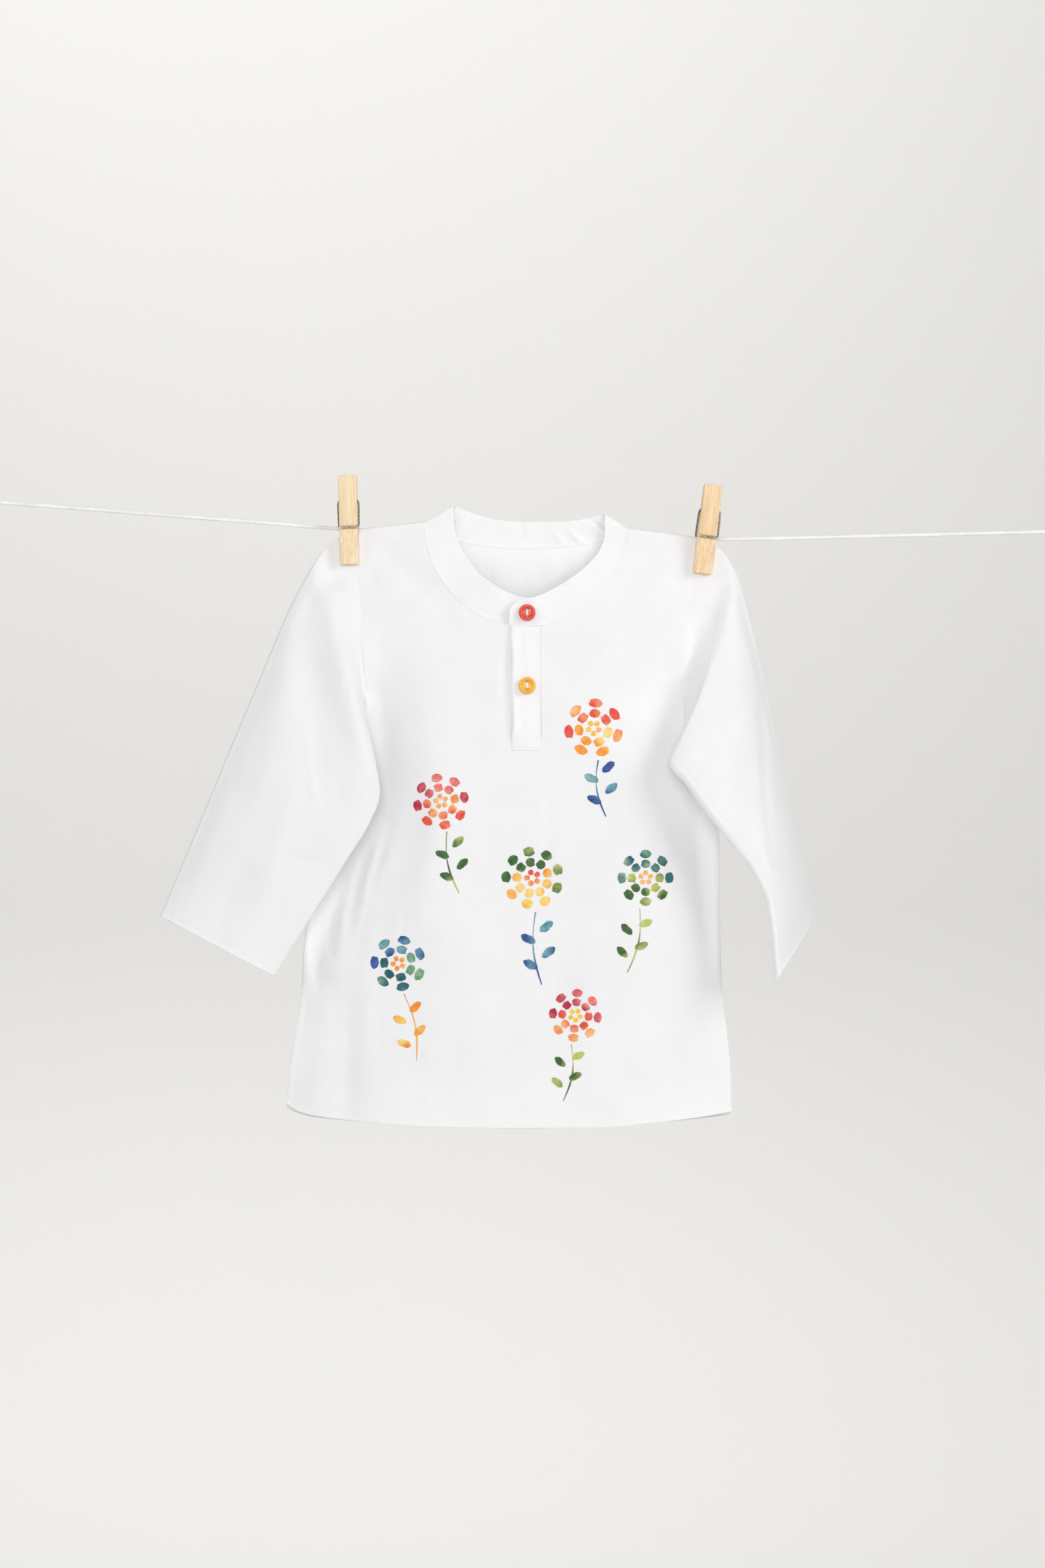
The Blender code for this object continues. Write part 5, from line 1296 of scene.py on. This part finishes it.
def make_leg(peg, part, side, material):
    top = PEG_LENGTH_UP + (PEGS[peg][3] if side > 0 else 0.0)
    inner = [(PEG_GAP, -PEG_LENGTH_DOWN + 1.2), *notch_side(0.0, NOTCH_RADIUS)]
    inner += notch_side(COIL_HEIGHT, COIL_RADIUS + WIRE_RADIUS + 0.4)
    inner += [(PEG_GAP, COIL_HEIGHT + 4.5), (5.2, top - 0.5)]
    dip = [
        (8.6 - WIRE_RADIUS * 0.9 * math.cos(t) ** 0.5, BAR_HEIGHT + 1.25 * math.sin(t))
        for t in np.linspace(math.pi / 2 - 0.05, -math.pi / 2 + 0.05, 11)
    ]
    outer = [(5.7, top), (9.2, top), (9.7, top - 0.5), (8.65, BAR_HEIGHT + 1.9), *dip]
    outer += [(8.5, BAR_HEIGHT - 1.9), (5.4, -PEG_LENGTH_DOWN + 0.6)]
    outer += [(4.8, -PEG_LENGTH_DOWN), (PEG_GAP + 0.9, -PEG_LENGTH_DOWN)]
    outline = [(side * away, height, 0.0) for away, height in inner + outer]
    curve = curve_through(f"{peg}_{part}", outline, LEG_ROUNDING, outline=True)
    curve.fill_mode, curve.bevel_resolution = "BOTH", 2
    curve.extrude, curve.offset = (PEG_WIDTH / 2 - LEG_ROUNDING) * MM, -LEG_ROUNDING * MM
    shape = link(f"{peg}_{part}_outline", curve)
    bpy.context.view_layer.update()
    mesh = bpy.data.meshes.new_from_object(shape.evaluated_get(bpy.context.evaluated_depsgraph_get()))
    bpy.data.objects.remove(shape)
    face_outwards(mesh, 0.005 * MM)
    # The outline was drawn flat, with the peg's length along Y.
    mesh.transform(Matrix(((0, 0, 1, 0), (1, 0, 0, 0), (0, 1, 0, 0), (0, 0, 0, 1))))
    mesh.set_sharp_from_angle(angle=math.radians(32))
    stand_at_peg(link(f"{peg}_{part}_wood", mesh, material), peg, part)


def bend(corners):
    """A path through corners, rounded at each."""
    corners = [np.array(c, float) for c in corners]
    path = [corners[0]]
    for before, corner, after in zip(corners, corners[1:], corners[2:]):
        into, out = ((end - corner) / np.linalg.norm(end - corner) for end in (before, after))
        for t in np.linspace(0.0, 1.0, 9):
            a, b = corner + into * WIRE_BEND * (1 - t), corner + out * WIRE_BEND * t
            path.append(a + (b - a) * t)
    path.append(corners[-1])
    return path


def make_spring(peg, steel):
    half, bar = PEG_WIDTH / 2 + WIRE_RADIUS + 0.3, 8.95
    turns, count = 3.5, 112
    coil = []
    for i in range(count + 1):
        angle = -math.pi / 2 + 2 * math.pi * turns * i / count
        away, height = COIL_RADIUS * math.sin(angle), COIL_HEIGHT + COIL_RADIUS * math.cos(angle)
        coil.append((half - 2 * half * i / count, away, height))
    down = bend([coil[-1], (-half, bar, BAR_HEIGHT), (half - 2.0, bar, BAR_HEIGHT)])
    up = bend([(-half + 2.0, -bar, BAR_HEIGHT), (half, -bar, BAR_HEIGHT), coil[0]])
    curve = curve_through(f"{peg}_spring_wire", up[:-1] + coil + down[1:], WIRE_RADIUS)
    curve.bevel_resolution, curve.use_fill_caps = 4, True
    stand_at_peg(link(f"{peg}_spring_wire", curve, steel), peg, "spring")


# ---------------------------------------------------------------- printed sprigs


def make_print():
    """A generic block-printed scatter of flower sprigs, as paint a hair's breadth above the front."""
    names = list(PAINTS)
    points, faces, slots = [], [], []

    def strip(rows, paint):
        """A strip of paint through rows of points."""
        for i, row in enumerate(rows):
            first, columns = len(points), len(row)
            points.extend(row)
            for a in range(first + 1, first + columns) if i else ():
                faces.append((a - columns - 1, a - columns, a, a - 1))
                slots.append(names.index(paint))

    def patch(centre, axis, length, width, paint, squared=0.5):
        """A petal or leaf that starts at centre and is widest in its middle."""
        axis = np.array(axis, float) / np.linalg.norm(axis)
        beside = np.array([-axis[1], axis[0]])
        rows = []
        for t in np.arange(9) / 8:
            half = width / 2 * max(0.06, (1 - abs(2 * t - 1) ** (2 + 3 * squared))) ** 0.6
            rows.append([])
            for s in 2 * np.arange(5) / 4 - 1:
                ragged = 1.0 + 0.09 * math.sin(9.0 * t + 4.0 * s + centre[0] * 1.7)
                ragged += 0.05 * math.sin(23.0 * t + centre[1])
                rows[-1].append(centre + axis * length * t + beside * half * s * ragged)
        strip(rows, paint)

    def stem(start, end, sway, width, paint):
        along = end - start
        beside = np.array([-along[1], along[0]]) / np.linalg.norm(along)
        rows = []
        for t in np.arange(30) / 29:
            middle = start + along * t + beside * sway * math.sin(math.pi * t)
            wide = width * (0.75 + 0.35 * math.sin(7 * t + sway))
            rows.append([middle + beside * wide * s for s in (-0.5, 0.5)])
        strip(rows, paint)

    for x, z, foot_x, foot_z, size, petals, turned, petal, low_petal, heart, leaf in SPRIGS:
        centre, foot = np.array([x, z], float), np.array([foot_x, foot_z], float)
        wide = 2 * math.pi * size * 0.62 / petals * 0.80
        for k in range(petals):
            turn = math.radians(turned + 360 * k / petals)
            way = np.array([math.cos(turn), math.sin(turn)])
            inner = low_petal if way[1] < 0.5 else petal
            outer = low_petal if way[1] < -0.4 else petal
            patch(centre + way * size * 0.36, way, size * 0.30, wide * 0.80, inner, 0.9)
            patch(centre + way * size * 0.71, way, size * 0.31, wide, outer, 0.4)
        for k in range(5):
            turn = math.radians(turned + 18 + 72 * k)
            way = np.array([math.cos(turn), math.sin(turn)])
            patch(centre + way * size * 0.09, way, size * 0.19, size * 0.17, heart, 0.6)
        run = np.linalg.norm(foot - centre)
        down = (foot - centre) / run
        stem(centre + down * size * 1.12, foot, 3.5 if turned % 20 < 10 else -3.5, 1.1, leaf)
        for share, hand in ((0.52, 1), (0.62, -1), (0.76, 1), (0.86, -1)):
            lean = np.array([-down[1] * hand, down[0] * hand]) * 0.85 - down * 0.55
            patch(centre + down * run * share + lean * 2.2, lean, size * 0.52, size * 0.27, leaf, 0.1)
    x, z = np.array(points).T
    mesh = bpy.data.meshes.new("print")
    mesh.from_pydata(metres(joined(x, cloth_depth(-1, x, z) - PAINT_LIFT, z)).tolist(), [], faces)
    for name in names:
        mesh.materials.append(fabric_paint(f"paint_{name}", *PAINTS[name]))
    mesh.polygons.foreach_set("material_index", slots)
    work = bmesh.new()
    work.from_mesh(mesh)
    for face in work.faces:
        face.normal_update()
        if face.normal.y > 0:
            face.normal_flip()
    work.to_mesh(mesh)
    work.free()
    mesh.shade_smooth()
    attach(link("printed_sprigs", mesh), "root")


def make_all():
    make_camera()
    make_line()
    make_studio()
    thread = thread_cotton()
    body_cotton = cotton("cotton_body")
    sleeve_cotton = cotton("cotton_sleeves")
    band_cotton = cotton("cotton_bands", (0.905, 0.90, 0.908), (0.86, 0.857, 0.875), 0.25)
    front = make_panel(-1, body_cotton)
    # The back's cotton is a slightly lighter copy of the same white cloth: painted light that lifts the
    # shaded inside of the back seen through the neck.
    back = make_panel(1, cotton("cotton_back_painted_light", (0.905, 0.90, 0.905), (0.865, 0.863, 0.88)))
    # The collar's cotton is a darker copy of the same white cloth: painted shade that tones down the bounced
    # light its hollow inner walls catch.
    collar = make_collar(cotton("cotton_collar_painted_shade", (0.885, 0.88, 0.89), (0.84, 0.837, 0.855), 0.25))
    over, under = make_placket(band_cotton)
    tables = (SLEEVE_RIGHT_ROWS, SLEEVE_RIGHT_FOLDS, SLEEVE_RIGHT_CREASES)
    right = make_sleeve("sleeve_right", sleeve_cotton, *tables, -1, SHOULDER_TIP_LEFT[1])
    tables = (SLEEVE_LEFT_ROWS, SLEEVE_LEFT_FOLDS, SLEEVE_LEFT_CREASES)
    left = make_sleeve("sleeve_left", sleeve_cotton, *tables, 1, SHOULDER_TIP_RIGHT[1])
    make_print()
    red = button_plastic("red_plastic", (0.83, 0.09, 0.045), (0.62, 0.05, 0.03))
    make_button("button_top", red, thread, -52.4, tail=True)
    yellow = button_plastic("yellow_plastic", (0.90, 0.50, 0.04), (0.80, 0.36, 0.02))
    make_button("button_lower", yellow, thread, -100.3, tail=False)
    make_stitches(thread)
    steel = spring_steel("spring_steel")
    pale = bamboo("bamboo_pale", (0.90, 0.75, 0.53), (0.84, 0.65, 0.41), (0.72, 0.50, 0.27))
    brown = bamboo("bamboo_brown", (0.90, 0.70, 0.45), (0.83, 0.59, 0.34), (0.68, 0.43, 0.22))
    for peg, wood, slot in (("peg_left", pale, "peg_wood"), ("peg_right", brown, "peg_wood_dark")):
        make_leg(peg, "front_leg", -1, wood)
        make_leg(peg, "rear_leg", 1, wood)
        make_spring(peg, steel)


make_all()
